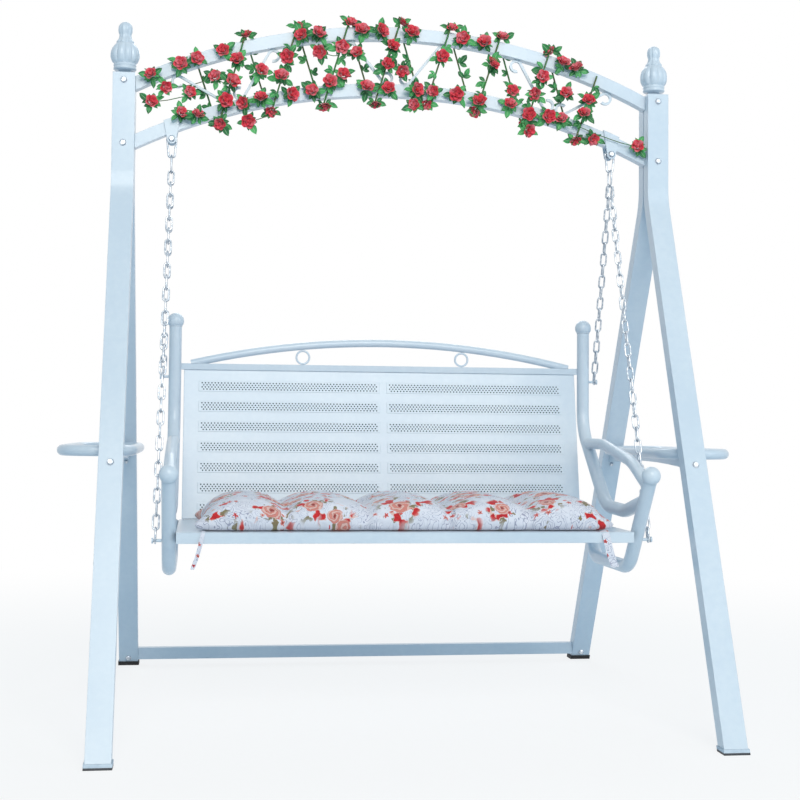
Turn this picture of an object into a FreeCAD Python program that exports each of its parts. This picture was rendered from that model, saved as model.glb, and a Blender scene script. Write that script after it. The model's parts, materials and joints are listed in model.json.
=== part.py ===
import FreeCAD
import Part
import math
import os

# Sizes of the A-frames, in millimetres
post_spacing = 1500.0
leg_width = 60.0
leg_depth = 40.0
leg_wall = 2.0
post_rise = 22.4
bend_height = 1427.0
bend_radius = 180.0
front_reach = 625.0
rear_reach = 813.0
foot_base = 5.0
foot_height = 13.0
foot_wall = 2.5
foot_gap = 0.3

# Sizes of the arched truss
arch_radius = 1618.5
upper_crown = 1879.5
arch_drop = 160.0
arch_height = 35.0
arch_depth = 30.0
arch_wall = 2.0
plate_thickness = 6.0
plate_width = 34.0
plate_drop = 228.0
spigot_height = 14.0
tongue_height = 26.0
bar_thickness = 7.0
bar_depth = 8.0
curl_radius = 15.0
curl_sweep = 255.0
scroll_tops = (606.0, 344.0, 131.0)
scroll_feet = (476.0, 437.0, 27.0)

# Profile of a finial, as radius and height above its seat
finial_profile = (
    (31.0, 0.0), (31.0, 15.0), (28.0, 18.0), (39.0, 42.0), (37.0, 61.0), (27.0, 76.0),
    (31.0, 80.0), (15.0, 95.0), (18.0, 112.0), (12.0, 129.0), (0.0, 134.0))

# Sizes of the side hoops and of the low rail
hoop_tube = 28.0
hoop_height = 711.0
hoop_in_reach = 58.0
hoop_out_reach = 145.0
hoop_end_gap = 2.0
tie_tube = 20.0
tie_rise = 14.0
stretcher_height = 37.0
stretcher_depth = 28.0
stretcher_foot = 20.0
stretcher_wall = 2.0

# Sizes of the fasteners
shank = 8.0
shank_gap = 0.3
head_diameter = 18.0
head_height = 5.0
head_shoulder = 6.0
head_edge = 1.5
nut_width = 13.0
nut_height = 6.5
nut_sides = 6
bolt_drops = (21.0, 193.0)
foot_bolt_height = 35.0
tie_bolt_reach = 7.0

# Sizes of the hangers
hanger_x = 620.0
saddle_wall = 4.0
saddle_gap = 0.3
saddle_width = 46.0
saddle_tip = 13.0
saddle_tip_angles = (205.0, 270.0, 335.0)
hanger_bolt_drop = 17.0
hanger_drop = 48.0
link_wire = 6.0
link_top_width = 26.0
link_foot_width = 16.0
link_corner = 7.0
link_foot_corner = 6.0

# Sizes of the chain
chain_wire = 5.0
chain_bow = 7.5
chain_pitch = 35.0
chain_gap = 0.3
bow_facets = 3
top_link_wire = 5.0
top_link_bow = 17.0
top_link_run = 16.0

# Sizes of the seat's tubes, as front-to-back and height places from the swing axis
side_x = 606.0
frame_tube = 36.0
arm_tube = 31.0
tube_wall = 1.5
bore_sides = 6
weld_gap = 0.2
seat_shift = 65.0
back_post_path = ((167.0, 1062.0), (167.0, 776.0), (-89.0, 560.0), (-275.0, 556.0), (-446.5, 592.0))
back_post_bends = (120.0, 150.0, 260.0)
arm_path = ((167.0, 733.0), (-60.0, 733.0), (-330.0, 690.0), (-474.0, 628.0))
arm_bends = (420.0, 300.0)
front_post_path = ((-487.0, 645.0), (-306.0, 408.0), (28.0, 408.0), (80.0, 506.0))
front_post_bends = (90.0, 70.0)
ball_diameter = 48.0
ball_bands = 5
stud_diameter = 8.0
stud_reach = 43.0
stud_collar = 15.0
stud_collar_width = 4.0
chain_stand = 34.0
front_stud = (-366.0, 487.0)
rear_stud = (167.0, 917.0)

# Sizes of the seat and the back
rail_height = 26.0
rail_width = 25.0
rail_wall = 1.5
rail_top = 508.0
front_rail_y = -400.0
rear_rail_y = 95.0
sheet = 2.0
panel_side_gap = 8.0
panel_foot = (92.0, 512.3)
panel_top = (172.0, 938.0)
panel_rim = 10.0
band_rows = 7
band_columns = 2
band_height = 31.0
band_relief = 1.5
band_side_share = 0.055
band_middle_share = 0.03
band_top_share = 0.045
top_rail_size = 18.0
crest_tube = 22.0
crest_rise = 67.0
crest_half_span = 560.0
ring_x = 236.0
ring_wire = 6.0
ring_facets = 12

# Sizes of the cushion
cushion_half_width = 530.0
cushion_front = -404.0
cushion_back = 62.0
cushion_height = 98.0
cushion_puffs = 5
cushion_gap = 0.3
seam_height_share = 0.76
swell_places = (0.0, 0.2, 0.5, 0.8, 1.0)
swell_shares = (0.0, 0.66, 1.0, 0.66, 0.0)
end_height_share = 0.42
seam_draw = 9.0
cushion_outline_shares = (
    (0.93, 0.0), (0.985, 0.2), (1.0, 0.45), (0.97, 0.7), (0.86, 0.9), (0.45, 0.985), (0.0, 1.0))
tie_width_left = 9.0
tie_width_right = 20.0
tie_thickness = 1.2
tie_fall = 92.0
tie_lean = 26.0
tie_stand = 3.0
tie_tuck_share = 0.3

# Sizes of the garland
vine_wire = 5.0
vine_sides = 5
vine_stand = 23.0
vine_turns = 8
vine_reach = 575.0
vine_bend_step = 18.0
vine_top_tuck = 11.0
vine_foot_tuck = 6.0
rose_radius = 18.0
rose_base = 9.0
rose_tip = 9.0
rose_height = 17.0
rose_swell_share = 0.45
rose_sides = 5
rose_spacing = 37.0
leaf_reach = 24.0
leaf_half_width = 8.5
leaf_thickness = 1.2
leaf_room = 18.0
leaf_turns = 9
stem_size = 4.0
stem_clear = 7.0
layer_gap = 0.3
rose_places = (
    (-687, 1754), (-697, 1719), (-640, 1700), (-678, 1657), (-597, 1629), (-587, 1743), (-574, 1687),
    (-560, 1792), (-503, 1732), (-501, 1675), (-534, 1751), (-479, 1793), (-527, 1597), (-488, 1607),
    (-460, 1834), (-437, 1780), (-380, 1754), (-266, 1854), (-216, 1818), (-301, 1794), (-325, 1701),
    (-372, 1651), (-413, 1615), (-290, 1659), (-234, 1667), (-195, 1732), (-153, 1753), (-113, 1816),
    (-100, 1884), (-51, 1896), (-36, 1845), (19, 1827), (41, 1893), (14, 1774), (-83, 1681), (-23, 1691),
    (49, 1679), (101, 1722), (150, 1808), (170, 1745), (252, 1880), (184, 1863), (284, 1796), (328, 1727),
    (372, 1729), (414, 1771), (479, 1830), (518, 1805), (485, 1727), (532, 1684), (561, 1659), (478, 1677),
    (431, 1660), (200, 1682), (252, 1660), (314, 1653), (372, 1620), (570, 1597), (665, 1591))

# Densities in kilograms per cubic millimetre, and how the vine is measured
steel_density = 7.85e-6
cloth_density = 0.06e-6
vine_mark_count = 12
vine_near_count = 4

# Shared values
overrun = 5.0
half = 0.5
half_turn = 180.0
quarter_turn = 90.0

# Values that follow from the sizes
post_x = half * post_spacing
post_inner = post_x - half * leg_width
leg_top_y = half * (plate_thickness + leg_depth)
front_slope = (front_reach - leg_top_y) / bend_height
rear_slope = (rear_reach - leg_top_y) / bend_height
front_span = leg_depth * math.hypot(1, front_slope)
rear_span = leg_depth * math.hypot(1, rear_slope)
apex_y = half * (front_reach - rear_reach + half * (front_span - rear_span))
seat_y = apex_y + seat_shift
panel_half_width = side_x - half * frame_tube - panel_side_gap
upper_centre = upper_crown - arch_radius
lower_centre = upper_centre - arch_drop
arch_outer = arch_radius + half * arch_height
arch_inner = arch_radius - half * arch_height
arch_end = post_inner - weld_gap
leg_top = upper_centre + math.sqrt(arch_radius * arch_radius - arch_end * arch_end) + post_rise
plate_foot = leg_top - plate_drop
bolt_heights = [leg_top - drop for drop in bolt_drops]
hanger_ceiling = lower_centre + math.sqrt(arch_inner * arch_inner - hanger_x * hanger_x)
hanger_bolt_height = hanger_ceiling - hanger_bolt_drop
swing_axis_height = hanger_bolt_height - hanger_drop
hoop_inner = post_x - hoop_in_reach
hoop_outer = post_x + hoop_out_reach
sides = (-1, 1)
side_names = {-1: "left", 1: "right"}


def vec(x, y, z):
    return FreeCAD.Vector(x, y, z)


def export(name, shapes):
    """Writes one node, as one solid or as a group of separate solids."""
    solids = [solid for shape in shapes for solid in shape.Solids]
    for solid in solids:
        if not solid.isValid():
            print("not valid:", name)
    body = solids[0] if len(solids) == 1 else Part.makeCompound(solids)
    body.exportStep("parts/" + name + ".step")
    built[name] = body


def box(x0, x1, y0, y1, z0, z1):
    return Part.makeBox(x1 - x0, y1 - y0, z1 - z0, vec(x0, y0, z0))


def mirrored(shape):
    return shape.mirror(vec(0, 0, 0), vec(1, 0, 0))


def rotated(vector, degrees):
    """Turns a vector of the YZ or XZ drawing plane, held as two numbers."""
    angle = math.radians(degrees)
    return (vector[0] * math.cos(angle) - vector[1] * math.sin(angle),
            vector[0] * math.sin(angle) + vector[1] * math.cos(angle))


def rounded_wire(points, radii):
    """A run of straight pieces with a tangent arc at each inner point."""
    edges = []
    start = points[0]
    for before, corner, after, radius in zip(points, points[1:], points[2:], radii):
        into = (corner - before).normalize()
        out = (after - corner).normalize()
        turn = into.getAngle(out)
        reach = radius * math.tan(half * turn)
        first = corner - into * reach
        last = corner + out * reach
        inward = (out - into).normalize()
        middle = corner + inward * (radius / math.cos(half * turn) - radius)
        edges.append(Part.makeLine(start, first))
        edges.append(Part.Arc(first, middle, last).toShape())
        start = last
    edges.append(Part.makeLine(start, points[-1]))
    return Part.Wire(edges)


def sweep(path, profile):
    shape = path.makePipeShell([profile], True, False)
    return shape if shape.Solids else Part.Solid(shape)


def start_of(path):
    edge = path.OrderedEdges[0]
    return edge.valueAt(edge.FirstParameter), edge.tangentAt(edge.FirstParameter)


def polygon_around(place, along, across, diameter, count):
    """A regular polygon around a point of a path."""
    up = along.cross(across)
    turns = [math.radians(2 * half_turn * k / count) for k in range(count)]
    corners = [place + (across * math.cos(t) + up * math.sin(t)) * (half * diameter) for t in turns]
    return Part.makePolygon(corners + corners[:1])


def bar_along(path, across, diameter, bore=0):
    """A round bar along lines and arcs; a bore makes it a tube with a flat-sided hollow."""
    lengths = []
    for edge in path.OrderedEdges:
        place = edge.valueAt(edge.FirstParameter)
        along = edge.tangentAt(edge.FirstParameter)
        face = Part.Face(Part.Wire([Part.Circle(place, along, half * diameter).toShape()]))
        if bore:
            face = face.cut(Part.Face(polygon_around(place, along, across, bore, bore_sides)))
        if isinstance(edge.Curve, Part.Circle):
            turn = math.degrees(edge.LastParameter - edge.FirstParameter)
            lengths.append(face.revolve(edge.Curve.Center, edge.Curve.Axis, turn))
        else:
            lengths.append(face.extrude(edge.valueAt(edge.LastParameter) - place))
    solids = [solid for shape in lengths for solid in shape.Solids]
    return solids[0].multiFuse(solids[1:]).removeSplitter() if len(solids) > 1 else solids[0]


def round_bar(path, diameter):
    return bar_along(path, None, diameter)


def side_path(places, radii, x):
    return rounded_wire([vec(x, seat_y + y, z) for y, z in places], radii)


def tube(path, diameter):
    """A tube in a plane across X."""
    return bar_along(path, vec(1, 0, 0), diameter, diameter - 2 * tube_wall)


def strip_face(pieces, thickness, to_space):
    """A flat strip of even thickness along tangent lines and arcs of a drawing plane."""
    rims = []
    for side in (-half * thickness, half * thickness):
        edges = []
        for piece in pieces:
            if piece[0] == "line":
                (ax, ay), (bx, by) = piece[1:]
                length = math.hypot(bx - ax, by - ay)
                nx, ny = (ay - by) / length * side, (bx - ax) / length * side
                edges.append(Part.makeLine(to_space(ax + nx, ay + ny), to_space(bx + nx, by + ny)))
            else:
                centre, radius, begin, turn = piece[1:]
                rim_radius = radius - side if turn > 0 else radius + side
                spots = [rotated((rim_radius, 0), begin + turn * share) for share in (0, half, 1)]
                spots = [to_space(centre[0] + px, centre[1] + py) for px, py in spots]
                edges.append(Part.Arc(*spots).toShape())
        rims.append(edges)
    first = rims[0][0].valueAt(rims[0][0].FirstParameter)
    second = rims[1][0].valueAt(rims[1][0].FirstParameter)
    third = rims[0][-1].valueAt(rims[0][-1].LastParameter)
    fourth = rims[1][-1].valueAt(rims[1][-1].LastParameter)
    edges = rims[0] + rims[1] + [Part.makeLine(first, second), Part.makeLine(third, fourth)]
    return Part.Face(Part.Wire(Part.__sortEdges__(edges)))


def leg_pieces(side, reach):
    """The bent centre line of a leg; side is -1 in front and 1 behind."""
    top = (side * leg_top_y, leg_top)
    corner = (side * leg_top_y, bend_height)
    foot = (side * reach, 0)
    length = math.hypot(foot[0] - corner[0], foot[1] - corner[1])
    out = ((foot[0] - corner[0]) / length, (foot[1] - corner[1]) / length)
    turn = math.degrees(math.atan2(abs(out[0]), -out[1]))
    tangent = bend_radius * math.tan(math.radians(half * turn))
    first = (corner[0], corner[1] + tangent)
    last = (corner[0] + out[0] * tangent, corner[1] + out[1] * tangent)
    centre = (corner[0] + side * bend_radius, first[1])
    begin = half_turn if side > 0 else 0
    end = (foot[0] + out[0] * leg_depth, foot[1] + out[1] * leg_depth)
    bend = ("arc", centre, bend_radius, begin, side * turn)
    return [("line", top, first), bend, ("line", last, end)], out


def flat_face(corners):
    """A flat face inside a ring of corners."""
    return Part.Face(Part.makePolygon(corners + corners[:1]))


def turned(outline):
    """A solid turned round the Z axis from half its outline."""
    return flat_face(outline).revolve(vec(0, 0, 0), vec(0, 0, 1), 2 * half_turn)


def extruded_x(face, x0, x1):
    shape = face.copy()
    shape.translate(vec(x0, 0, 0))
    return shape.extrude(vec(x1 - x0, 0, 0))


def cylinder(place, along, diameter, length):
    return Part.makeCylinder(half * diameter, length, place, along)


def square_bar(place, along, width, length):
    """A square bar across X that starts at place."""
    across = vec(1, 0, 0) * (half * width)
    up = along.cross(vec(1, 0, 0)).normalize() * (half * width)
    corners = [place + across + up, place - across + up, place - across - up, place + across - up]
    return flat_face(corners).extrude(along * length)


def bolt(place, along, length):
    """A round-headed bolt with a square neck; place is under the head, along points down the shank."""
    radius = half * head_diameter
    rim = [vec(radius, 0, 0), vec(radius, 0, head_edge), vec(head_shoulder, 0, head_height)]
    head = turned([vec(0, 0, 0)] + rim + [vec(0, 0, head_height)])
    head.Placement = FreeCAD.Placement(place, FreeCAD.Rotation(vec(0, 0, 1), along * -1))
    return head.fuse(square_bar(place, along, shank, length)).removeSplitter()


def nut(place, along):
    """A hexagon nut with its bore; place is at its seat and along points outwards."""
    radius = nut_width / math.cos(math.radians(half_turn / nut_sides))
    hexagon = polygon_around(place, along, vec(1, 0, 0), radius, nut_sides)
    prism = Part.Face(hexagon).extrude(along * nut_height)
    bore = square_bar(place - along * overrun, along, shank + shank_gap, nut_height + 2 * overrun)
    return prism.cut(bore)


def clear_hole(place, along, length):
    return square_bar(place - along * overrun, along, shank + 2 * shank_gap, length + 2 * overrun)


def arch_height_at(x, radius, centre):
    return centre + math.sqrt(radius * radius - x * x)


def to_yz(y, z):
    return vec(0, apex_y + y, z)


def to_xz(x, z):
    return vec(x, 0, z)


built = {}
os.makedirs("parts", exist_ok=True)

# Legs, with bolt holes, and their rubber feet
leg_spots = {}
for along_side, reach, leg_name in ((-1, front_reach, "front"), (1, rear_reach, "rear")):
    pieces, leg_out = leg_pieces(along_side, reach)
    skin = strip_face(pieces, leg_depth, to_yz)
    hollow = strip_face(pieces, leg_depth - 2 * leg_wall, to_yz)
    ground_reach = reach + leg_top
    below = box(0, 2 * post_x, apex_y - ground_reach, apex_y + ground_reach, -leg_top, foot_base)
    leg_slope = leg_out[0] / leg_out[1]
    leg_normal = vec(0, along_side * leg_out[1], -along_side * leg_out[0])
    tie_bolt_z = hoop_height - half * hoop_tube - tie_tube
    tie_y = along_side * reach + leg_slope * tie_bolt_z
    outer = extruded_x(skin, post_x - half * leg_width, post_x + half * leg_width)
    inner = extruded_x(hollow, post_x - half * leg_width + leg_wall, post_x + half * leg_width - leg_wall)
    lid = box(post_inner, post_x + half * leg_width, apex_y - reach, apex_y + reach,
              leg_top - leg_wall, leg_top + overrun)
    leg = outer.cut(inner.cut(lid)).cut(below)
    for height in bolt_heights:
        leg = leg.cut(clear_hole(vec(post_x, apex_y - 2 * leg_depth, height), vec(0, 1, 0), 4 * leg_depth))
    tie_place = vec(post_x, apex_y + tie_y, tie_bolt_z)
    leg = leg.cut(clear_hole(tie_place - leg_normal * leg_depth, leg_normal, 2 * leg_depth))
    if leg_name == "rear":
        low_y = apex_y + reach + leg_slope * foot_bolt_height
        low = vec(post_x, low_y, foot_bolt_height)
        leg = leg.cut(clear_hole(low, leg_normal, leg_depth))
        leg_spots["bolt"] = low
        leg_spots["rail"] = apex_y + reach + leg_slope * (stretcher_foot + half * stretcher_height)
    leg_spots[leg_name] = (tie_place, leg_normal)

    span = leg_depth / abs(leg_out[1])
    rise = vec(0, leg_slope * foot_height, foot_height)
    corners_of = {}
    for label, grow, z0 in (("outer", foot_wall + foot_gap, 0), ("inner", foot_gap, foot_base)):
        y_mid = apex_y + along_side * reach + leg_slope * z0
        x0, x1 = post_x - half * leg_width - grow, post_x + half * leg_width + grow
        y0, y1 = y_mid - half * span - grow, y_mid + half * span + grow
        outline = [vec(x0, y0, z0), vec(x1, y0, z0), vec(x1, y1, z0), vec(x0, y1, z0), vec(x0, y0, z0)]
        corners_of[label] = Part.Face(Part.makePolygon(outline)).extrude(rise)
    foot = corners_of["outer"].cut(corners_of["inner"])
    for side in sides:
        put = (lambda shape: shape) if side > 0 else mirrored
        export(leg_name + "_leg_" + side_names[side], [put(leg)])
        export("foot_" + leg_name + "_" + side_names[side], [put(foot)])

# Arches of the truss
for arch_name, arch_centre in (("upper_arch", upper_centre), ("lower_arch", lower_centre)):
    layers = []
    for shrink, depth in ((0, arch_depth), (arch_wall, arch_depth - 2 * arch_wall)):
        edges = []
        ends = []
        for radius in (arch_outer - shrink, arch_inner + shrink):
            end_z = arch_height_at(arch_end, radius, arch_centre)
            spots = [vec(-arch_end, 0, end_z), vec(0, 0, arch_centre + radius), vec(arch_end, 0, end_z)]
            edges.append(Part.Arc(*spots).toShape())
            ends.append(end_z)
        for end_x in (-arch_end, arch_end):
            edges.append(Part.makeLine(vec(end_x, 0, ends[0]), vec(end_x, 0, ends[1])))
        face = Part.Face(Part.Wire(Part.__sortEdges__(edges)))
        face.translate(vec(0, apex_y - half * depth, 0))
        layers.append(face.extrude(vec(0, depth, 0)))
    export(arch_name, [layers[0].cut(layers[1])])

# Plates between the leg tops, with a tongue to each arch and the finial's spigot
plate_y0 = apex_y - half * plate_thickness + weld_gap
plate_y1 = apex_y + half * plate_thickness - weld_gap
plate = box(post_x - half * plate_width, post_x + half * plate_width, plate_y0, plate_y1,
            plate_foot, leg_top + spigot_height)
for arch_centre in (upper_centre, lower_centre):
    tongue_z = arch_height_at(arch_end, arch_radius, arch_centre)
    plate = plate.fuse(box(arch_end + weld_gap, post_x, plate_y0, plate_y1,
                           tongue_z - half * tongue_height, tongue_z + half * tongue_height))
for height in bolt_heights:
    plate = plate.cut(clear_hole(vec(post_x, apex_y - leg_depth, height), vec(0, 1, 0), 2 * leg_depth))
plate = plate.removeSplitter()
export("truss_plate_right", [plate])
export("truss_plate_left", [mirrored(plate)])

# Finials on the spigots
finial = turned([vec(0, 0, 0)] + [vec(radius, 0, height) for radius, height in finial_profile])
finial.translate(vec(post_x, apex_y, leg_top + spigot_height))
export("finials", [finial, mirrored(finial)])

# S-scrolls between the arches
scrolls = []
curl_stand = curl_radius + half * bar_thickness + weld_gap
for top_x, foot_x in zip(scroll_tops, scroll_feet):
    top = (top_x, arch_height_at(top_x, arch_inner - curl_stand, upper_centre))
    foot = (foot_x, arch_height_at(foot_x, arch_outer + curl_stand, lower_centre))
    length = math.hypot(top[0] - foot[0], top[1] - foot[1])
    hand = 1 if top_x > foot_x else -1
    tilt = math.degrees(math.asin(2 * curl_radius / length))
    run = rotated(((top[0] - foot[0]) / length, (top[1] - foot[1]) / length), hand * tilt)
    middle = (half * (top[0] + foot[0]), half * (top[1] + foot[1]))
    ends = []
    for centre in (foot, top):
        step = (centre[0] - middle[0]) * run[0] + (centre[1] - middle[1]) * run[1]
        ends.append((middle[0] + run[0] * step, middle[1] + run[1] * step))
    foot_angle = math.degrees(math.atan2(ends[0][1] - foot[1], ends[0][0] - foot[0]))
    top_angle = math.degrees(math.atan2(ends[1][1] - top[1], ends[1][0] - top[0]))
    pieces = [("arc", foot, curl_radius, foot_angle - hand * curl_sweep, hand * curl_sweep),
              ("line", ends[0], ends[1]),
              ("arc", top, curl_radius, top_angle, -hand * curl_sweep)]
    face = strip_face(pieces, bar_thickness, to_xz)
    face.translate(vec(0, apex_y - half * bar_depth, 0))
    scroll = face.extrude(vec(0, bar_depth, 0))
    scrolls += [scroll, mirrored(scroll)]
export("truss_scrolls", scrolls)

# Side hoops, the bars that carry them, and the low rail
front_place, front_normal = leg_spots["front"]
rear_place, rear_normal = leg_spots["rear"]
hoop_x = half * (hoop_inner + hoop_outer)
hoop_bend = half * (hoop_outer - hoop_inner - hoop_tube)
hoop_top = hoop_height + half * hoop_tube
hoop_stand = hoop_end_gap + half * hoop_tube + hoop_bend
hoop_y0 = apex_y - front_reach + front_slope * hoop_top + half * front_span + hoop_stand
hoop_y1 = apex_y + rear_reach - rear_slope * hoop_top - half * rear_span - hoop_stand
near = vec(hoop_x - hoop_bend, hoop_y0, hoop_height)
far = vec(hoop_x - hoop_bend, hoop_y1, hoop_height)
near_out = vec(hoop_x + hoop_bend, hoop_y0, hoop_height)
far_out = vec(hoop_x + hoop_bend, hoop_y1, hoop_height)
tip_near = vec(hoop_x, hoop_y0 - hoop_bend, hoop_height)
tip_far = vec(hoop_x, hoop_y1 + hoop_bend, hoop_height)
loop = Part.Wire([Part.makeLine(near, far), Part.Arc(far, tip_far, far_out).toShape(),
                  Part.makeLine(far_out, near_out), Part.Arc(near_out, tip_near, near).toShape()])
hoop = bar_along(loop, vec(0, 0, 1), hoop_tube, hoop_tube - 2 * tube_wall)
vent_place = vec(hoop_x + hoop_bend, half * (hoop_y0 + hoop_y1), hoop_height)
hoop = hoop.cut(square_bar(vent_place, vec(0, 0, -1), 2 * tube_wall, hoop_tube))
tie_mid = half * (front_place.y + rear_place.y)
tie_half = half * (rear_place.y - front_place.y)
tie_radius = half * (tie_half * tie_half + tie_rise * tie_rise) / tie_rise
tie_open = math.degrees(math.asin(tie_half / tie_radius))
cross_x = hoop_x - post_x + half * tie_tube
cross_step = math.sqrt(hoop_bend * hoop_bend - cross_x * cross_x)
cross_away = min(tie_mid - hoop_y0 + cross_step, hoop_y1 + cross_step - tie_mid)
tie_seat = hoop_height - half * hoop_tube - weld_gap
tie_centre = (tie_mid - apex_y,
              tie_seat - half * tie_tube - math.sqrt(tie_radius * tie_radius - cross_away * cross_away))
tie_piece = ("arc", tie_centre, tie_radius, quarter_turn + tie_open, -2 * tie_open)
tie_face = strip_face([tie_piece], tie_tube, to_yz)
tie = extruded_x(tie_face, post_x - half * tie_tube, post_x + half * tie_tube)
for along_side, reach in ((-1, front_reach), (1, rear_reach)):
    pieces, leg_out = leg_pieces(along_side, reach)
    room = strip_face(pieces, leg_depth + 2 * weld_gap, to_yz)
    tie = tie.cut(extruded_x(room, post_x - leg_width, post_x + leg_width))
tie = max(tie.Solids, key=lambda solid: solid.Volume)
tie_bolts = []
for place, normal in (leg_spots["front"], leg_spots["rear"]):
    outward = normal if normal.y * (place.y - apex_y) > 0 else normal * -1
    under_head = place + outward * (half * leg_depth + weld_gap)
    tie_bolts.append(bolt(under_head, outward * -1, leg_depth + tie_bolt_reach))
    tie = tie.cut(clear_hole(under_head, outward * -1, leg_depth + tie_bolt_reach))
tie = max(tie.Solids, key=lambda solid: solid.Volume)
export("tie_bolts", tie_bolts + [mirrored(shape) for shape in tie_bolts])
export("side_hoops", [hoop, mirrored(hoop)])
export("side_ties", [tie, mirrored(tie)])
rail_y = leg_spots["rail"]
rail_end = post_inner - weld_gap
stretcher = box(-rail_end, rail_end, rail_y - half * stretcher_depth, rail_y + half * stretcher_depth,
                stretcher_foot, stretcher_foot + stretcher_height)
bore_half = half * stretcher_depth - stretcher_wall
bore = box(-rail_end - overrun, rail_end + overrun, rail_y - bore_half, rail_y + bore_half,
           stretcher_foot + stretcher_wall, stretcher_foot + stretcher_height - stretcher_wall)
export("rear_stretcher", [stretcher.cut(bore)])
low_place = leg_spots["bolt"]
forward = rear_normal if rear_normal.y < 0 else rear_normal * -1
foot_bolt = bolt(low_place + forward * (half * leg_depth + weld_gap), forward * -1, half * leg_depth)
export("foot_bolts", [foot_bolt, mirrored(foot_bolt)])

# Bolts and nuts through the leg tops
post_bolts = []
post_nuts = []
stack = leg_top_y + half * leg_depth
for height in bolt_heights:
    fixing = bolt(vec(post_x, apex_y - stack - weld_gap, height), vec(0, 1, 0), 2 * stack + nut_height)
    keeper = nut(vec(post_x, apex_y + stack + weld_gap, height), vec(0, 1, 0))
    post_bolts += [fixing, mirrored(fixing)]
    post_nuts += [keeper, mirrored(keeper)]
export("post_bolts", post_bolts)
export("post_nuts", post_nuts)

# Saddles over the lower arch, their bolts and the V-shaped links
saddle_depth = arch_depth + 2 * (saddle_gap + saddle_wall)
top_radius = arch_outer + saddle_gap
saddle_top = [vec(x, 0, arch_height_at(x, top_radius + saddle_wall, lower_centre))
              for x in (hanger_x - half * saddle_width, hanger_x + half * saddle_width)]
tip = vec(hanger_x, 0, hanger_bolt_height)
tip_turns = [math.radians(angle) for angle in saddle_tip_angles]
tip_spots = [tip + vec(math.cos(turn), 0, math.sin(turn)) * saddle_tip for turn in tip_turns]
saddle_edges = [Part.makeLine(saddle_top[1], saddle_top[0]), Part.makeLine(saddle_top[0], tip_spots[0]),
                Part.Arc(*tip_spots).toShape(), Part.makeLine(tip_spots[2], saddle_top[1])]
saddle_face = Part.Face(Part.Wire(saddle_edges))
saddle_face.translate(vec(0, apex_y - half * saddle_depth, 0))
saddle = saddle_face.extrude(vec(0, saddle_depth, 0))
room_outline = [vec(x, 0, arch_height_at(x, top_radius, lower_centre))
                for x in (hanger_x - saddle_width, hanger_x, hanger_x + saddle_width)]
room_low = hanger_bolt_height - saddle_tip - overrun
room_outline += [vec(hanger_x + saddle_width, 0, room_low), vec(hanger_x - saddle_width, 0, room_low)]
room = flat_face(room_outline)
room.translate(vec(0, apex_y - half * arch_depth - saddle_gap, 0))
saddle = saddle.cut(room.extrude(vec(0, arch_depth + 2 * saddle_gap, 0)))
saddle = saddle.cut(clear_hole(tip + vec(0, apex_y - saddle_depth, 0), vec(0, 1, 0), 2 * saddle_depth))
export("hanger_saddles", [saddle, mirrored(saddle)])
bolt_seat = vec(hanger_x, apex_y - half * saddle_depth - weld_gap, hanger_bolt_height)
nut_seat = vec(hanger_x, apex_y + half * saddle_depth + weld_gap, hanger_bolt_height)
hanger_bolt = bolt(bolt_seat, vec(0, 1, 0), saddle_depth + nut_height)
hanger_nut = nut(nut_seat, vec(0, 1, 0))
export("hanger_bolts", [hanger_bolt, mirrored(hanger_bolt)])
export("hanger_nuts", [hanger_nut, mirrored(hanger_nut)])
link_top = hanger_bolt_height + half * shank + half * link_wire + chain_gap
link_points = [vec(hanger_x, apex_y, swing_axis_height),
               vec(hanger_x + half * link_foot_width, apex_y, swing_axis_height),
               vec(hanger_x + half * link_top_width, apex_y, link_top),
               vec(hanger_x - half * link_top_width, apex_y, link_top),
               vec(hanger_x - half * link_foot_width, apex_y, swing_axis_height),
               vec(hanger_x, apex_y, swing_axis_height)]
link_bends = (link_foot_corner, link_corner, link_corner, link_foot_corner)
link = round_bar(rounded_wire(link_points, link_bends), link_wire)
export("hanger_links", [link, mirrored(link)])

# Chain: oval links that hang in one another, two strands from each top link
def bow_corners(radius):
    """Corners of a bow drawn with flats round a circle, as steps ahead and sideways."""
    flats = [(k - half * (bow_facets - 1)) * half_turn / bow_facets for k in range(bow_facets)]
    normals = [-quarter_turn] + flats + [quarter_turn]
    corners = []
    for first, second in zip(normals, normals[1:]):
        reach = radius / math.cos(math.radians(half * (second - first)))
        corners.append(rotated((reach, 0), half * (first + second)))
    return corners


def oval_link(centre, along, across, bow, run, wire):
    """A link of square wire; centre is the middle of its upper bow and along points to the lower one."""
    layers = []
    for radius in (bow + half * wire, bow - half * wire):
        corners = [centre + along * (run + ahead) + across * aside for ahead, aside in bow_corners(radius)]
        corners += [centre - along * ahead - across * aside for ahead, aside in bow_corners(radius)]
        layers.append(Part.Face(Part.makePolygon(corners + corners[:1])))
    normal = along.cross(across).normalize()
    face = layers[0].cut(layers[1])
    face.translate(normal * (-half * wire))
    return face.extrude(normal * wire)


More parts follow.
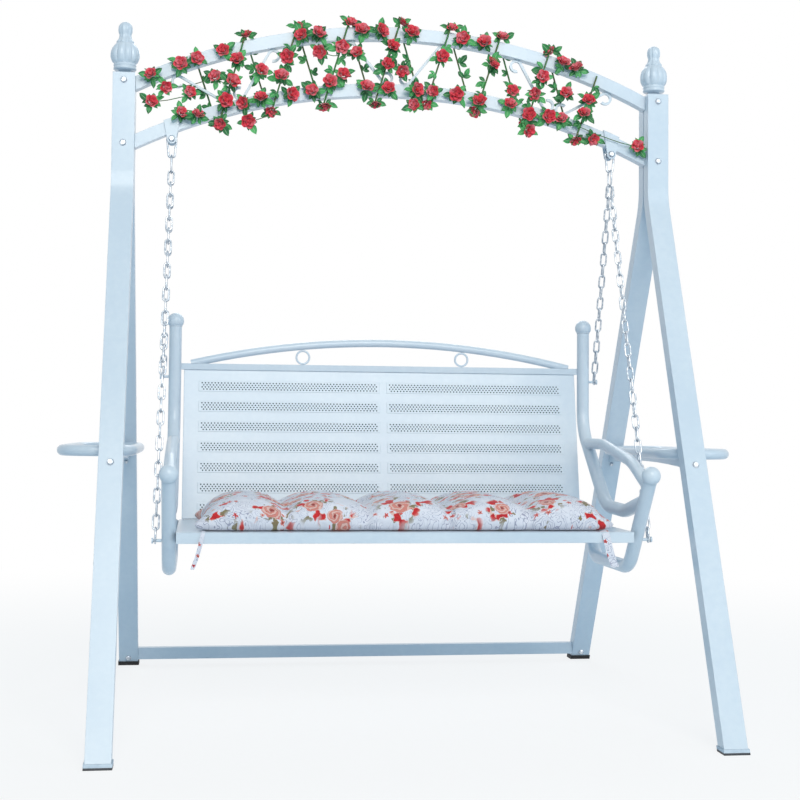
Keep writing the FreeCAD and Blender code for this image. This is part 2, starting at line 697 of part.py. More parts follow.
top_link_seat = top_link_bow - half * top_link_wire - half * link_wire - chain_gap
top_link_centre = vec(hanger_x, apex_y, swing_axis_height - top_link_seat)
top_link = oval_link(top_link_centre, vec(0, 0, -1), vec(0, 1, 0),
                     top_link_bow, top_link_run, top_link_wire)
export("chain_top_links", [top_link, mirrored(top_link)])
fork = top_link_centre - vec(0, 0, top_link_run)
for strand_name, stud_place in (("front", front_stud), ("rear", rear_stud)):
    stud = vec(side_x + chain_stand, seat_y + stud_place[0], stud_place[1])
    along = (stud - fork).normalize()
    first = top_link_bow - half * top_link_wire - chain_gap + chain_bow - half * chain_wire
    last = chain_bow - half * chain_wire - half * stud_diameter - chain_gap
    length = (stud - fork).Length
    nest = 2 * chain_bow - chain_wire - chain_gap
    usable = length - first - last + nest
    count = 2 * int(round(half * usable / chain_pitch))
    run = usable / count - nest
    sideways = vec(1, 0, 0) - along * along.x
    sideways.normalize()
    flat = along.cross(sideways)
    links = []
    for k in range(count):
        centre = fork + along * (first + k * (run + nest))
        across = sideways if k % 2 == 0 else flat
        links.append(oval_link(centre, along, across, chain_bow, run, chain_wire))
    export("chain_" + strand_name + "_right", links)
    export("chain_" + strand_name + "_left", [mirrored(shape) for shape in links])
    print("links in a", strand_name, "strand:", count, "run", round(run, 2))

# Bent tubes of the seat's side frames, coped where they meet
post_wire = side_path(back_post_path, back_post_bends, side_x)
arm_wire = side_path(arm_path, arm_bends, side_x)
front_wire = side_path(front_post_path, front_post_bends, side_x)
front_room = round_bar(front_wire, frame_tube + 2 * weld_gap)
post_room = round_bar(post_wire, frame_tube + 2 * weld_gap)
front_post = tube(front_wire, frame_tube)
back_post = max(tube(post_wire, frame_tube).cut(front_room).Solids, key=lambda solid: solid.Volume)
arm = tube(arm_wire, arm_tube).cut(front_room).cut(post_room)
arm = max(arm.Solids, key=lambda solid: solid.Volume)
for shape, tube_name in ((front_post, "front_post"), (back_post, "back_post"), (arm, "arm")):
    export(tube_name + "_right", [shape])
    export(tube_name + "_left", [mirrored(shape)])

# Ball caps on the posts and the studs that hold the chain ends
ball_radius = half * ball_diameter
seat_of_ball = math.sqrt(ball_radius * ball_radius - half * frame_tube * half * frame_tube)
seat_angle = math.degrees(math.asin(half * frame_tube / ball_radius))
arc_turn = math.radians(half_turn - seat_angle)
arc_steps = [arc_turn - arc_turn * k / ball_bands for k in range(ball_bands + 1)]
ball_arc = [vec(math.sin(a), 0, math.cos(a)) * ball_radius + vec(0, 0, seat_of_ball) for a in arc_steps]
ball = turned([vec(0, 0, 0)] + ball_arc)
ball.translate(vec(0, 0, weld_gap))
balls = []
for path in (post_wire, front_wire):
    place, along = start_of(path)
    cap = ball.copy()
    turn = FreeCAD.Rotation(vec(0, 0, 1), along * -1)
    cap.Placement = FreeCAD.Placement(place, turn).multiply(cap.Placement)
    balls += [cap, mirrored(cap)]
export("ball_caps", balls)
studs = []
for stud_place in (front_stud, rear_stud):
    place = vec(side_x + half * frame_tube + weld_gap, seat_y + stud_place[0], stud_place[1])
    length = stud_reach - half * frame_tube - weld_gap
    pin = cylinder(place, vec(1, 0, 0), stud_diameter, length)
    collar_place = place + vec(length - stud_collar_width, 0, 0)
    collar = cylinder(collar_place, vec(1, 0, 0), stud_collar, stud_collar_width)
    stud = pin.fuse(collar).removeSplitter()
    studs += [stud, mirrored(stud)]
export("chain_studs", studs)

# Rails of the seat
def rail_tube(x0, x1, y0, y1, z0, z1, wall, axis):
    """A rectangular tube along X or Y, open at both ends."""
    open_x = overrun if axis == "x" else -wall
    open_y = overrun if axis == "y" else -wall
    inner = box(x0 - open_x, x1 + open_x, y0 - open_y, y1 + open_y, z0 + wall, z1 - wall)
    return box(x0, x1, y0, y1, z0, z1).cut(inner)


rail_outer = side_x - half * frame_tube - weld_gap
rail_z0 = rail_top - rail_height
for rail_name, rail_place in (("seat_front_rail", front_rail_y), ("seat_rear_rail", rear_rail_y)):
    rail_y0 = seat_y + rail_place - half * rail_width
    rail_y1 = seat_y + rail_place + half * rail_width
    rail = rail_tube(-rail_outer, rail_outer, rail_y0, rail_y1, rail_z0, rail_top, rail_wall, "x")
    export(rail_name, [rail])
side_y0 = seat_y + front_rail_y + half * rail_width + weld_gap
side_y1 = seat_y + rear_rail_y - half * rail_width - weld_gap
side_x0 = rail_outer - rail_width
side_rail = rail_tube(side_x0, rail_outer, side_y0, side_y1, rail_z0, rail_top, rail_wall, "y")
export("seat_side_rail_right", [side_rail])
export("seat_side_rail_left", [mirrored(side_rail)])
seat_front = seat_y + front_rail_y - half * rail_width
seat_back = seat_y + rear_rail_y + half * rail_width
export("seat_panel", [box(-rail_outer, rail_outer, seat_front, seat_back, rail_top, rail_top + sheet)])

# Leaning back panel: a folded sheet with raised bands, its top rail, crest and rings
lean = math.degrees(math.atan2(panel_top[0] - panel_foot[0], panel_top[1] - panel_foot[1]))
panel_length = math.hypot(panel_top[0] - panel_foot[0], panel_top[1] - panel_foot[1])
panel = box(-panel_half_width, panel_half_width, 0, panel_rim, 0, panel_length)
panel = panel.cut(box(-panel_half_width + sheet, panel_half_width - sheet, sheet, panel_rim + overrun,
                      sheet, panel_length - sheet))
column_pitch = 2 * panel_half_width * (1 - 2 * band_side_share + band_middle_share) / band_columns
column_width = column_pitch - 2 * panel_half_width * band_middle_share
row_pitch = panel_length * (1 - band_top_share) / band_rows
for column in range(band_columns):
    for row in range(band_rows):
        x0 = -panel_half_width + 2 * panel_half_width * band_side_share + column * column_pitch
        z0 = row * row_pitch + half * (row_pitch - band_height)
        panel = panel.fuse(box(x0, x0 + column_width, -band_relief, 0, z0, z0 + band_height))
        panel = panel.cut(box(x0 + sheet, x0 + column_width - sheet, -band_relief + sheet, sheet,
                              z0 + sheet, z0 + band_height - sheet))
panel = panel.removeSplitter()
panel.Placement = FreeCAD.Placement(vec(0, seat_y + panel_foot[0], panel_foot[1]),
                                    FreeCAD.Rotation(vec(1, 0, 0), -lean))
export("back_panel", [panel])
rail_y0 = seat_y + panel_top[0] - half * top_rail_size + half * panel_rim
panel_peak = panel.BoundBox.ZMax + weld_gap
export("back_top_rail", [rail_tube(-rail_outer, rail_outer, rail_y0, rail_y0 + top_rail_size,
                                   panel_peak, panel_peak + top_rail_size, rail_wall, "x")])
rail_ceiling = panel_peak + top_rail_size
crest_y = rail_y0 + half * top_rail_size
crest_ends = [vec(-crest_half_span, crest_y, rail_ceiling), vec(crest_half_span, crest_y, rail_ceiling)]
crest_top = vec(0, crest_y, rail_ceiling + crest_rise)
crest_path = Part.Wire([Part.Arc(crest_ends[0], crest_top, crest_ends[1]).toShape()])
under = box(-2 * crest_half_span, 2 * crest_half_span, crest_y - panel_length, crest_y + panel_length,
            0, rail_ceiling + weld_gap)
crest = bar_along(crest_path, vec(0, 1, 0), crest_tube, crest_tube - 2 * tube_wall)
crest = max(crest.cut(under).Solids, key=lambda solid: solid.Volume)
export("back_arch", [crest])
crest_radius = (crest_half_span * crest_half_span + crest_rise * crest_rise) * half / crest_rise
crest_under = rail_ceiling + crest_rise - crest_radius
crest_under += math.sqrt(crest_radius * crest_radius - ring_x * ring_x)
crest_under -= half * crest_tube / math.cos(math.asin(ring_x / crest_radius))
ring_outer = half * (crest_under - rail_ceiling) - weld_gap
ring_place = vec(ring_x, crest_y - half * ring_wire, rail_ceiling + weld_gap + ring_outer)
ring_faces = [Part.Face(polygon_around(ring_place, vec(0, 1, 0), vec(1, 0, 0), width, ring_facets))
              for width in (2 * ring_outer, 2 * (ring_outer - ring_wire))]
ring = ring_faces[0].cut(ring_faces[1]).extrude(vec(0, ring_wire, 0))
export("back_rings", [ring, mirrored(ring)])

# Cushion: five stuffed puffs between drawn-in seams, crowned, flat underneath
cushion_floor = rail_top + sheet + cushion_gap
cushion_mid_y = seat_y + half * (cushion_front + cushion_back)
cushion_half_depth = half * (cushion_back - cushion_front)


def cushion_section(x, height_share, draw):
    """A section of the cushion across X: a flat floor, round noses and a crowned top."""
    tall = cushion_height * height_share
    deep = cushion_half_depth - draw
    rear = [(deep * out, tall * up) for out, up in cushion_outline_shares]
    front = [(-out, up) for out, up in rear[-2::-1]]
    corners = [vec(x, cushion_mid_y + out, cushion_floor + up) for out, up in rear + front]
    return Part.makePolygon(corners + corners[:1])


puff_width = 2 * cushion_half_width / cushion_puffs
sections = []
for puff in range(cushion_puffs):
    left_x = -cushion_half_width + puff * puff_width
    for place, share in zip(swell_places, swell_shares):
        if puff > 0 and place == 0:
            continue
        at_end = (puff == 0 and place < half) or (puff == cushion_puffs - 1 and place > half)
        low_share = end_height_share if at_end else seam_height_share
        draw = (2 * seam_draw if at_end else seam_draw) * (1 - share)
        height_share = low_share + (1 - low_share) * share
        sections.append(cushion_section(left_x + place * puff_width, height_share, draw))
cushion = Part.makeLoft(sections, True, True)
export("seat_cushion", [cushion])

# Tie ribbons that hang from the cushion's front corners
tie_y1 = seat_front - tie_stand
for side, width in zip(sides, (tie_width_left, tie_width_right)):
    top_z = cushion_floor + tie_thickness
    top_x = side * (cushion_half_width - width)
    low_x = top_x + side * tie_lean
    low_z = top_z - tie_fall
    ribbon = [vec(top_x - half * width, tie_y1, top_z), vec(top_x + half * width, tie_y1, top_z),
              vec(low_x + half * width, tie_y1, low_z), vec(low_x - half * width, tie_y1, low_z)]
    strip = flat_face(ribbon).extrude(vec(0, -tie_thickness, 0))
    tab_end = cushion_mid_y - cushion_half_depth + cushion_half_depth * tie_tuck_share
    tab = box(top_x - half * width, top_x + half * width, tie_y1 - tie_thickness, tab_end,
              cushion_floor, top_z)
    tie_cloth = strip.fuse(tab).cut(cushion).removeSplitter()
    export("cushion_tie_" + side_names[side], [max(tie_cloth.Solids, key=lambda solid: solid.Volume)])

# Garland: one vine wound round both arches
def arc_edges(start, start_dir, finish, finish_dir):
    """Two tangent arcs that join two points with given directions."""
    chord = finish - start
    both = start_dir + finish_dir
    open_share = 2 * (1 - start_dir.dot(finish_dir))
    reach = chord.dot(both)
    step = (math.sqrt(reach * reach + open_share * chord.dot(chord)) - reach) / open_share
    joint = (start + start_dir * step + finish - finish_dir * step) * half
    edges = []
    for a, direction, b in ((start, start_dir, joint), (finish, finish_dir * -1, joint)):
        span = b - a
        flat = direction.dot(span) / span.Length
        bulge = direction - span * (flat / span.Length)
        turn = math.acos(flat)
        middle = (a + b) * half + bulge.normalize() * (half * span.Length * math.tan(half * turn))
        edges.append(Part.Arc(a, middle, b).toShape() if a is start else Part.Arc(b, middle, a).toShape())
    return edges


def vine_top(x):
    return arch_height_at(x, arch_outer, upper_centre) - vine_top_tuck


def vine_foot(x):
    return arch_height_at(x, arch_inner, lower_centre) + vine_foot_tuck


vine_pitch = 2 * vine_reach / vine_turns
half_step = half * vine_pitch - vine_bend_step
front_runs = []
rear_runs = []
for turn in range(vine_turns):
    x = vine_reach - turn * vine_pitch
    front_runs.append((vec(x, apex_y - vine_stand, vine_top(x)),
                       vec(x - half_step, apex_y - vine_stand, vine_foot(x - half_step))))
    x = x - half_step - vine_bend_step
    rear_runs.append((vec(x, apex_y + vine_stand, vine_foot(x)),
                      vec(x - half_step, apex_y + vine_stand, vine_top(x - half_step))))
runs = [run for pair in zip(front_runs, rear_runs) for run in pair]
vine_edges = []
for run, following in zip(runs, runs[1:] + [None]):
    vine_edges.append(Part.makeLine(*run))
    if following:
        vine_edges += arc_edges(run[1], (run[1] - run[0]).normalize(), following[0],
                                (following[1] - following[0]).normalize())
vine_path = Part.Wire(vine_edges)
vine_start, vine_along = start_of(vine_path)
vine = sweep(vine_path, polygon_around(vine_start, vine_along, vec(0, 1, 0), vine_wire, vine_sides))
export("garland_vine", [vine])

# Sprigs of the garland: a leaf pair on a stem, and a rose in front of it
def flat_distance(px, pz, run):
    """How far a place is from a front run of the vine, and the nearest place on it."""
    ax, az = run[0].x, run[0].z
    bx, bz = run[1].x - ax, run[1].z - az
    share = max(0, min(1, ((px - ax) * bx + (pz - az) * bz) / (bx * bx + bz * bz)))
    nx, nz = ax + bx * share, az + bz * share
    return math.hypot(px - nx, pz - nz), nx, nz


def on_arch(px, pz):
    """Whether a stem at this place meets the front face of an arch."""
    room = half * arch_height - stem_size
    centres = (upper_centre, lower_centre)
    return any(abs(math.hypot(px, pz - centre) - arch_radius) < room for centre in centres)


def to_arch(px, pz):
    """The nearest place on the middle line of an arch."""
    best = None
    for centre in (upper_centre, lower_centre):
        reach = math.hypot(px, pz - centre)
        spot = (px * arch_radius / reach, centre + (pz - centre) * arch_radius / reach)
        away = math.hypot(spot[0] - px, spot[1] - pz)
        if best is None or away < best[0]:
            best = (away,) + spot
    return best


layer_y = apex_y - vine_stand - half * vine_wire - layer_gap
stem_foot_y = apex_y - half * arch_depth - layer_gap
sprigs = []
for px, pz in rose_places:
    vine_away, vx, vz = min(flat_distance(px, pz, run) for run in front_runs)
    arch_away, ax, az = to_arch(px, pz)
    stemmed = arch_away < vine_away
    spot = (ax, az) if stemmed else (vx, vz)
    if stemmed and min(flat_distance(ax, az, run)[0] for run in front_runs) < stem_clear:
        stemmed = False
        vine_away, vx, vz = min(flat_distance(ax, az, run) for run in front_runs)
        spot = (vx, vz)
    if stemmed and not on_arch(*spot):
        continue
    near_saddle = abs(abs(spot[0]) - hanger_x) < saddle_width and spot[1] < arch_height_at(
        hanger_x - saddle_width, arch_outer, lower_centre) + saddle_wall
    near_post = abs(spot[0]) > post_inner - rose_radius
    crowded = any(math.hypot(spot[0] - q[0], spot[1] - q[1]) < rose_spacing for q, _ in sprigs)
    if not (near_saddle or near_post or crowded):
        sprigs.append((spot, stemmed))


def leaf_rays(spot, angle):
    ux, uz = rotated((leaf_reach, 0), angle)
    return [(spot[0] + ux * s, spot[1] + uz * s) for s in (-1, -half, 0, half, 1)]


leaves = []
roses = []
taken = []
for spot, stemmed in sprigs:
    choices = []
    for k in range(leaf_turns):
        rays = leaf_rays(spot, half_turn * k / leaf_turns)
        others = taken + [q for q, _ in sprigs if q != spot]
        room = min(math.hypot(r[0] - q[0], r[1] - q[1]) for r in rays for q in others)
        choices.append((room, half_turn * k / leaf_turns))
    room, angle = max(choices)
    base_y = layer_y
    along_x, along_z = rotated((1, 0), angle)
    reach = leaf_reach if room > leaf_room else leaf_half_width
    wide = min(leaf_half_width, reach)
    tips = [(reach, 0), (0, wide), (-reach, 0), (0, -wide)]
    corners = [vec(spot[0] + a * along_x - b * along_z, base_y, spot[1] + a * along_z + b * along_x)
               for a, b in tips]
    leaf = flat_face(corners).extrude(vec(0, -leaf_thickness, 0))
    if stemmed:
        stem = box(spot[0] - half * stem_size, spot[0] + half * stem_size, base_y - half * leaf_thickness,
                   stem_foot_y, spot[1] - half * stem_size, spot[1] + half * stem_size)
        leaf = leaf.fuse(stem).removeSplitter()
    leaves.append(leaf)
    taken += leaf_rays(spot, angle) if reach == leaf_reach else [spot]
    rose_y = base_y - leaf_thickness - layer_gap
    rings = []
    rose_swell = rose_height * rose_swell_share
    for radius, rise in ((rose_base, 0), (rose_radius, rose_swell), (rose_tip, rose_height)):
        steps = [rotated((radius, 0), angle + 2 * half_turn * k / rose_sides) for k in range(rose_sides)]
        rings.append([vec(spot[0] + dx, rose_y - rise, spot[1] + dz) for dx, dz in steps])
    outlines = [rings[0], rings[-1][::-1]]
    for lower, upper in zip(rings, rings[1:]):
        for k in range(rose_sides):
            outlines.append([lower[k], upper[k], upper[k - 1], lower[k - 1]])
    faces = [flat_face(outline) for outline in outlines]
    rose = Part.Solid(Part.Shell(faces))
    if rose.Volume < 0:
        rose.reverse()
    roses.append(rose)
export("garland_leaves", leaves)
export("garland_roses", roses)

# Measures: the seat's balance under the swing axis, and the vine's room
seat_words = ("chain", "back", "arm", "ball", "seat", "cushion", "front_post")
weight = 0
moment = 0
for name, shape in built.items():
    if not name.startswith(seat_words):
        continue
    density = cloth_density if "cushion" in name else steel_density
    for solid in shape.Solids:
        weight += solid.Volume * density
        moment += solid.Volume * density * solid.CenterOfMass.y
offset = moment / weight - apex_y
print("hanging seat", round(weight, 2), "kg, off the swing axis by", round(offset, 1), "mm")
marks = [edge.discretize(vine_mark_count) for edge in vine_path.OrderedEdges]
pairs = [(row, later) for k, row in enumerate(marks) for later in marks[k + vine_near_count:]]
self_gap = min(one.distanceToPoint(other) for row, later in pairs for one in row for other in later)
print("vine's least gap to itself", round(self_gap - vine_wire, 2), "mm")
for arch_name in ("upper_arch", "lower_arch", "truss_scrolls"):
    print("vine to", arch_name, round(vine.distToShape(built[arch_name])[0], 2), "mm")
print("roses", len(roses), "leaves", len(leaves), "nodes", len(built))
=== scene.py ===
import json
import logging
import math
import random
from dataclasses import dataclass
from enum import Enum
from typing import Iterable, Optional, Sequence, Union

import bmesh
import bpy
from mathutils import Matrix, Vector, noise


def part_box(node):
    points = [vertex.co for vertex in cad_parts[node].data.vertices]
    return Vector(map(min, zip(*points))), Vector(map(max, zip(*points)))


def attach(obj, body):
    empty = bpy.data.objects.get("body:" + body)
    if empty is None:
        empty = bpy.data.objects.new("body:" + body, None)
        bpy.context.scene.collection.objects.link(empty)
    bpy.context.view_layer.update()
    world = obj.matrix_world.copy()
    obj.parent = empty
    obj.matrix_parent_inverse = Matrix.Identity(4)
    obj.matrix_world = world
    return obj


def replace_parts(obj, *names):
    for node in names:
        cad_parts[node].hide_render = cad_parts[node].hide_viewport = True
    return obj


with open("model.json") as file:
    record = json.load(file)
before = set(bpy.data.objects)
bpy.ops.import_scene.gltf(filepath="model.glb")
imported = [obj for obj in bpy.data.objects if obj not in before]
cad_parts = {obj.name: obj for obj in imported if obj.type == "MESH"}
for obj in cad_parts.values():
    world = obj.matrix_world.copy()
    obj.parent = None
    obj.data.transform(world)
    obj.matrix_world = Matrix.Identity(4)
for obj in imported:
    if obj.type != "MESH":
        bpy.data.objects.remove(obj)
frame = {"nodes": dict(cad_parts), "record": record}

LOG = logging.getLogger("garden_swing")
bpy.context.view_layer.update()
APEX_Y = -0.094576
SEAT_SET_BACK = 0.065
SEAT_Y = APEX_Y + SEAT_SET_BACK
SIDES = (-1, 1)
HANDS = ((-1, "left"), (1, "right"))
TURNED_MERGE = 0.00002
SOLID_MERGE = 0.00001
TOUCH = 1e-6
FACING = 0.9
EDGE_SAMPLES = 6

Colour = tuple[float, float, float]
Place = tuple[float, float, float]
Pair = tuple[float, float]
# A grain is a noise's scale and detail, a ramp is where it starts and ends, a relief is a bump's
# strength and its depth in metres, and sizes are the scales of roses and then of leaf sprays.
Grain = tuple[float, float]
Ramp = tuple[float, float]
Relief = tuple[float, float]
Sizes = tuple[Ramp, Ramp]
Socket = bpy.types.NodeSocket
Feed = Union[float, Colour, Socket]


class Body(Enum):
    """The two bodies that pieces ride on."""

    FRAME = "frame"
    SEAT = "swing_seat"


class PrintLayer(Enum):
    """Depths in the print's noise, so that its patterns don't follow one another."""

    TONE = 0.3
    DRAWN = 0.7
    PEN = 1.1
    LEAF = 2.3
    BLOT = 3.1
    RED = 3.9
    SWIRL = 5.0
    FOLD = 6.2


def tint(red: int, green: int, blue: int) -> Colour:
    """Turns a colour of a screen into the shader's own scale, by the sRGB curve.

    Args:
        red: red part, 0 to 255.
        green: green part, 0 to 255.
        blue: blue part, 0 to 255.

    Returns:
        The colour in linear light.
    """
    parts = [part / 255 for part in (red, green, blue)]
    return tuple(p / 12.92 if p <= 0.04045 else ((p + 0.055) / 1.055) ** 2.4 for p in parts)


class Nodes:
    """A node tree that is put together step by step."""

    def __init__(self, tree: bpy.types.NodeTree) -> None:
        """Takes over a tree."""
        self.tree = tree

    def node(self, kind: str, **settings: Union[str, int]) -> bpy.types.Node:
        """Adds a node.

        Args:
            kind: the node's type.
            settings: its own properties.

        Returns:
            The new node.
        """
        made = self.tree.nodes.new(kind)
        for key, value in settings.items():
            setattr(made, key, value)
        return made

    def feed(self, socket: Socket, value: Feed) -> None:
        """Links a socket to another one, or sets its constant.

        Args:
            socket: the input that is fed.
            value: an output socket, a number or a colour.
        """
        if isinstance(value, bpy.types.NodeSocket):
            self.tree.links.new(value, socket)
        elif isinstance(value, tuple) and len(value) == 3 and socket.type == "RGBA":
            socket.default_value = (*value, 1.0)
        else:
            socket.default_value = value

    def fed(self, kind: str, values: Iterable[Feed], **settings: Union[str, int]) -> bpy.types.Node:
        """Adds a node and feeds its first inputs.

        Args:
            kind: the node's type.
            values: what its inputs get, in order.
            settings: its own properties.

        Returns:
            The new node.
        """
        made = self.node(kind, **settings)
        for socket, value in zip(made.inputs, values):
            self.feed(socket, value)
        return made

    def maths(self, operation: str, *values: Feed) -> Socket:
        """Works out one number from others."""
        return self.fed("ShaderNodeMath", values, operation=operation).outputs[0]

    def times(self, first: Feed, *others: Feed) -> Feed:
        """Multiplies numbers.

        Args:
            first: the first number.
            others: what it is multiplied by.

        Returns:
            The product's socket.
        """
        for other in others:
            first = self.maths("MULTIPLY", first, other)
        return first

    def vector(self, operation: str, *values: Feed) -> Socket:
        """Works out one vector from others, or its length."""
        made = self.fed("ShaderNodeVectorMath", values, operation=operation)
        return made.outputs["Value" if operation == "LENGTH" else "Vector"]

    def parts(self, where: Socket) -> list[Socket]:
        """Splits a vector into its three numbers."""
        return list(self.fed("ShaderNodeSeparateXYZ", [where]).outputs)

    def mix(self, share: Feed, first: Feed, second: Feed) -> Socket:
        """Mixes two colours.

        Args:
            share: how much of the second counts, 0 to 1.
            first: the first colour.
            second: the second colour.

        Returns:
            The mixed colour's socket.
        """
        made = self.node("ShaderNodeMix", data_type="RGBA")
        for name, value in zip(("Factor_Float", "A_Color", "B_Color"), (share, first, second)):
            self.feed(next(s for s in made.inputs if s.identifier == name), value)
        return next(s for s in made.outputs if s.identifier == "Result_Color")

    def blend(self, share: Feed, first: Socket, second: Socket) -> Socket:
        """Mixes two shaders by a share from 0 to 1."""
        return self.fed("ShaderNodeMixShader", (share, first, second)).outputs[0]

    def between(self, value: Feed, low: float, high: float) -> Socket:
        """Ramps smoothly from 0 at low to 1 at high."""
        steps = self.fed("ShaderNodeMapRange", (value, low, high), interpolation_type="SMOOTHSTEP")
        return steps.outputs[0]

    def below(self, value: Feed, low: float, high: float) -> Socket:
        """Ramps smoothly from 1 at low to 0 at high."""
        return self.maths("SUBTRACT", 1.0, self.between(value, low, high))

    def noise(self, where: Socket, scale: float, detail: float, colour: bool = False) -> Socket:
        """Gives soft noise from about 0 to 1.

        Args:
            where: the coordinates.
            scale: how fine it is.
            detail: how many finer layers it has.
            colour: whether it is three numbers instead of one.

        Returns:
            The noise's socket.
        """
        made = self.node("ShaderNodeTexNoise")
        for key, value in (("Vector", where), ("Scale", scale), ("Detail", detail)):
            self.feed(made.inputs[key], value)
        return made.outputs["Color" if colour else 0]

    def seen_by(self, *rays: str) -> Socket:
        """Tells some kinds of ray from the rest.

        Args:
            rays: the names of the kinds.

        Returns:
            A socket that is 1 for these rays and otherwise 0.
        """
        path = self.node("ShaderNodeLightPath")
        share = path.outputs[rays[0]]
        for ray in rays[1:]:
            share = self.maths("MAXIMUM", share, path.outputs[ray])
        return share


class Shader(Nodes):
    """A material that is put together from nodes."""

    def __init__(self, name: str) -> None:
        """Starts a material with one principled surface.

        Args:
            name: the finish's plain name.
        """
        self.material = bpy.data.materials.new(name)
        self.material.use_nodes = True
        super().__init__(self.material.node_tree)
        self.surface = self.tree.nodes["Principled BSDF"]

    def set(self, **values: Feed) -> None:
        """Feeds the surface's inputs, named with underscores for spaces."""
        for key, value in values.items():
            self.feed(self.surface.inputs[key.replace("_", " ")], value)

    def place(self, uv: Optional[str] = None) -> Socket:
        """Gives the coordinates that a pattern follows.

        Args:
            uv: the name of a UV map, if it isn't the object's own place.

        Returns:
            The coordinates' socket.
        """
        if uv:
            return self.node("ShaderNodeUVMap", uv_map=uv).outputs[0]
        return self.node("ShaderNodeTexCoord").outputs["Object"]

    def bump(self, height: Socket, strength: float, depth: float,
             normal: Optional[Socket] = None) -> None:
        """Raises the surface by a height pattern.

        Args:
            height: the pattern's socket.
            strength: how far it counts.
            depth: its height in metres.
            normal: the normal below it, if it isn't the surface's own.
        """
        made = self.node("ShaderNodeBump")
        for key, value in (("Strength", strength), ("Distance", depth), ("Height", height)):
            self.feed(made.inputs[key], value)
        if normal:
            self.feed(made.inputs["Normal"], normal)
        self.feed(self.surface.inputs["Normal"], made.outputs[0])

    def rounded(self, radius: float) -> Socket:
        """Gives a normal that softens sharp edges.

        Args:
            radius: how far it reaches, in metres.

        Returns:
            The normal's socket.
        """
        made = self.node("ShaderNodeBevel", samples=EDGE_SAMPLES)
        made.inputs["Radius"].default_value = radius
        return made.outputs[0]


@dataclass(frozen=True)
class PowderCoat:
    """Pale blue powder coat on steel, with orange peel and faint handling marks."""

    name: str = "powder_coat"
    base: Colour = tint(219, 228, 236)
    shade: Colour = tint(207, 219, 230)
    edge: float = 0.0016
    cloud: Grain = (3.2, 4.0)
    cloud_share: float = 0.75
    fine: Grain = (60.0, 3.0)
    patches: Ramp = (0.35, 0.68)
    least_roughness: float = 0.26
    more_roughness: float = 0.16
    coat: float = 0.3
    coat_roughness: float = 0.18
    peel: Grain = (520.0, 1.0)
    relief: Relief = (0.12, 0.0004)

    def material(self) -> bpy.types.Material:
        """Makes the coat's nodes.

        Returns:
            The coat's material.
        """
        sh = Shader(self.name)
        spot = sh.place()
        fine = sh.noise(spot, *self.fine)
        marks = sh.maths("ADD", sh.times(sh.noise(spot, *self.cloud), self.cloud_share),
                         sh.times(fine, 1 - self.cloud_share))
        sh.set(Base_Color=sh.mix(sh.between(marks, *self.patches), self.shade, self.base),
               Roughness=sh.maths("MULTIPLY_ADD", fine, self.more_roughness, self.least_roughness),
               Coat_Weight=self.coat, Coat_Roughness=self.coat_roughness)
        sh.bump(sh.noise(spot, *self.peel), *self.relief, sh.rounded(self.edge))
        return sh.material


@dataclass(frozen=True)
class BrightSteel:
    """Zinc-plated steel of chains and fasteners."""

    name: str = "bright_steel"
    base: Colour = tint(222, 228, 234)
    dull: Colour = tint(172, 184, 196)
    metallic: float = 0.85
    roughness: float = 0.40
    polish: float = 0.12
    wear: Grain = (95.0, 4.0)
    wear_ramp: Ramp = (0.38, 0.62)
    grain: Grain = (700.0, 2.0)
    relief: Relief = (0.1, 0.0003)
    edge: float = 0.0008

    def material(self) -> bpy.types.Material:
        """Makes the steel's nodes.

        Returns:
            The steel's material.
        """
        sh = Shader(self.name)
        spot = sh.place()
        worn = sh.between(sh.noise(spot, *self.wear), *self.wear_ramp)
        sh.set(Base_Color=sh.mix(worn, self.dull, self.base), Metallic=self.metallic,
               Roughness=sh.maths("MULTIPLY_ADD", worn, -self.polish, self.roughness))
        sh.bump(sh.noise(spot, *self.grain), *self.relief, sh.rounded(self.edge))
        return sh.material


@dataclass(frozen=True)
class FootRubber:
    """Black moulded rubber."""

    name: str = "foot_rubber"
    base: Colour = tint(26, 27, 30)
    dust: Colour = tint(62, 62, 64)
    dust_grain: Grain = (70.0, 5.0)
    dust_ramp: Ramp = (0.5, 0.75)
    roughness: float = 0.72
    grain: Grain = (420.0, 3.0)
    relief: Relief = (0.25, 0.0006)
    edge: float = 0.0015

    def material(self) -> bpy.types.Material:
        """Makes the rubber's nodes.

        Returns:
            The rubber's material.
        """
        sh = Shader(self.name)
        spot = sh.place()
        dusty = sh.between(sh.noise(spot, *self.dust_grain), *self.dust_ramp)
        sh.set(Base_Color=sh.mix(dusty, self.base, self.dust), Roughness=self.roughness)
        sh.bump(sh.noise(spot, *self.grain), *self.relief, sh.rounded(self.edge))
        return sh.material


@dataclass(frozen=True)
class FootCap:
    """A moulded cap in the frame's colour on a thin dark sole."""

    name: str = "foot_cap"
    cap: Colour = tint(206, 218, 229)
    worn: Colour = tint(190, 204, 217)
    sole: Colour = tint(38, 44, 52)
    sole_height: float = 0.0048
    sole_blur: float = 0.0008
    scuff: Grain = (55.0, 4.0)
    scuff_ramp: Ramp = (0.4, 0.7)
    roughness: float = 0.5
    grain: Grain = (420.0, 3.0)
    relief: Relief = (0.2, 0.0005)
    edge: float = 0.003

    def material(self) -> bpy.types.Material:
        """Makes the cap's nodes, with the sole by height.

        Returns:
            The cap's material.
        """
        sh = Shader(self.name)
        spot = sh.place()
        above = sh.between(sh.parts(spot)[2], self.sole_height, self.sole_height + self.sole_blur)
        scuffed = sh.between(sh.noise(spot, *self.scuff), *self.scuff_ramp)
        plastic = sh.mix(scuffed, self.cap, self.worn)
        sh.set(Base_Color=sh.mix(above, self.sole, plastic), Roughness=self.roughness)
        sh.bump(sh.noise(spot, *self.grain), *self.relief, sh.rounded(self.edge))
        return sh.material


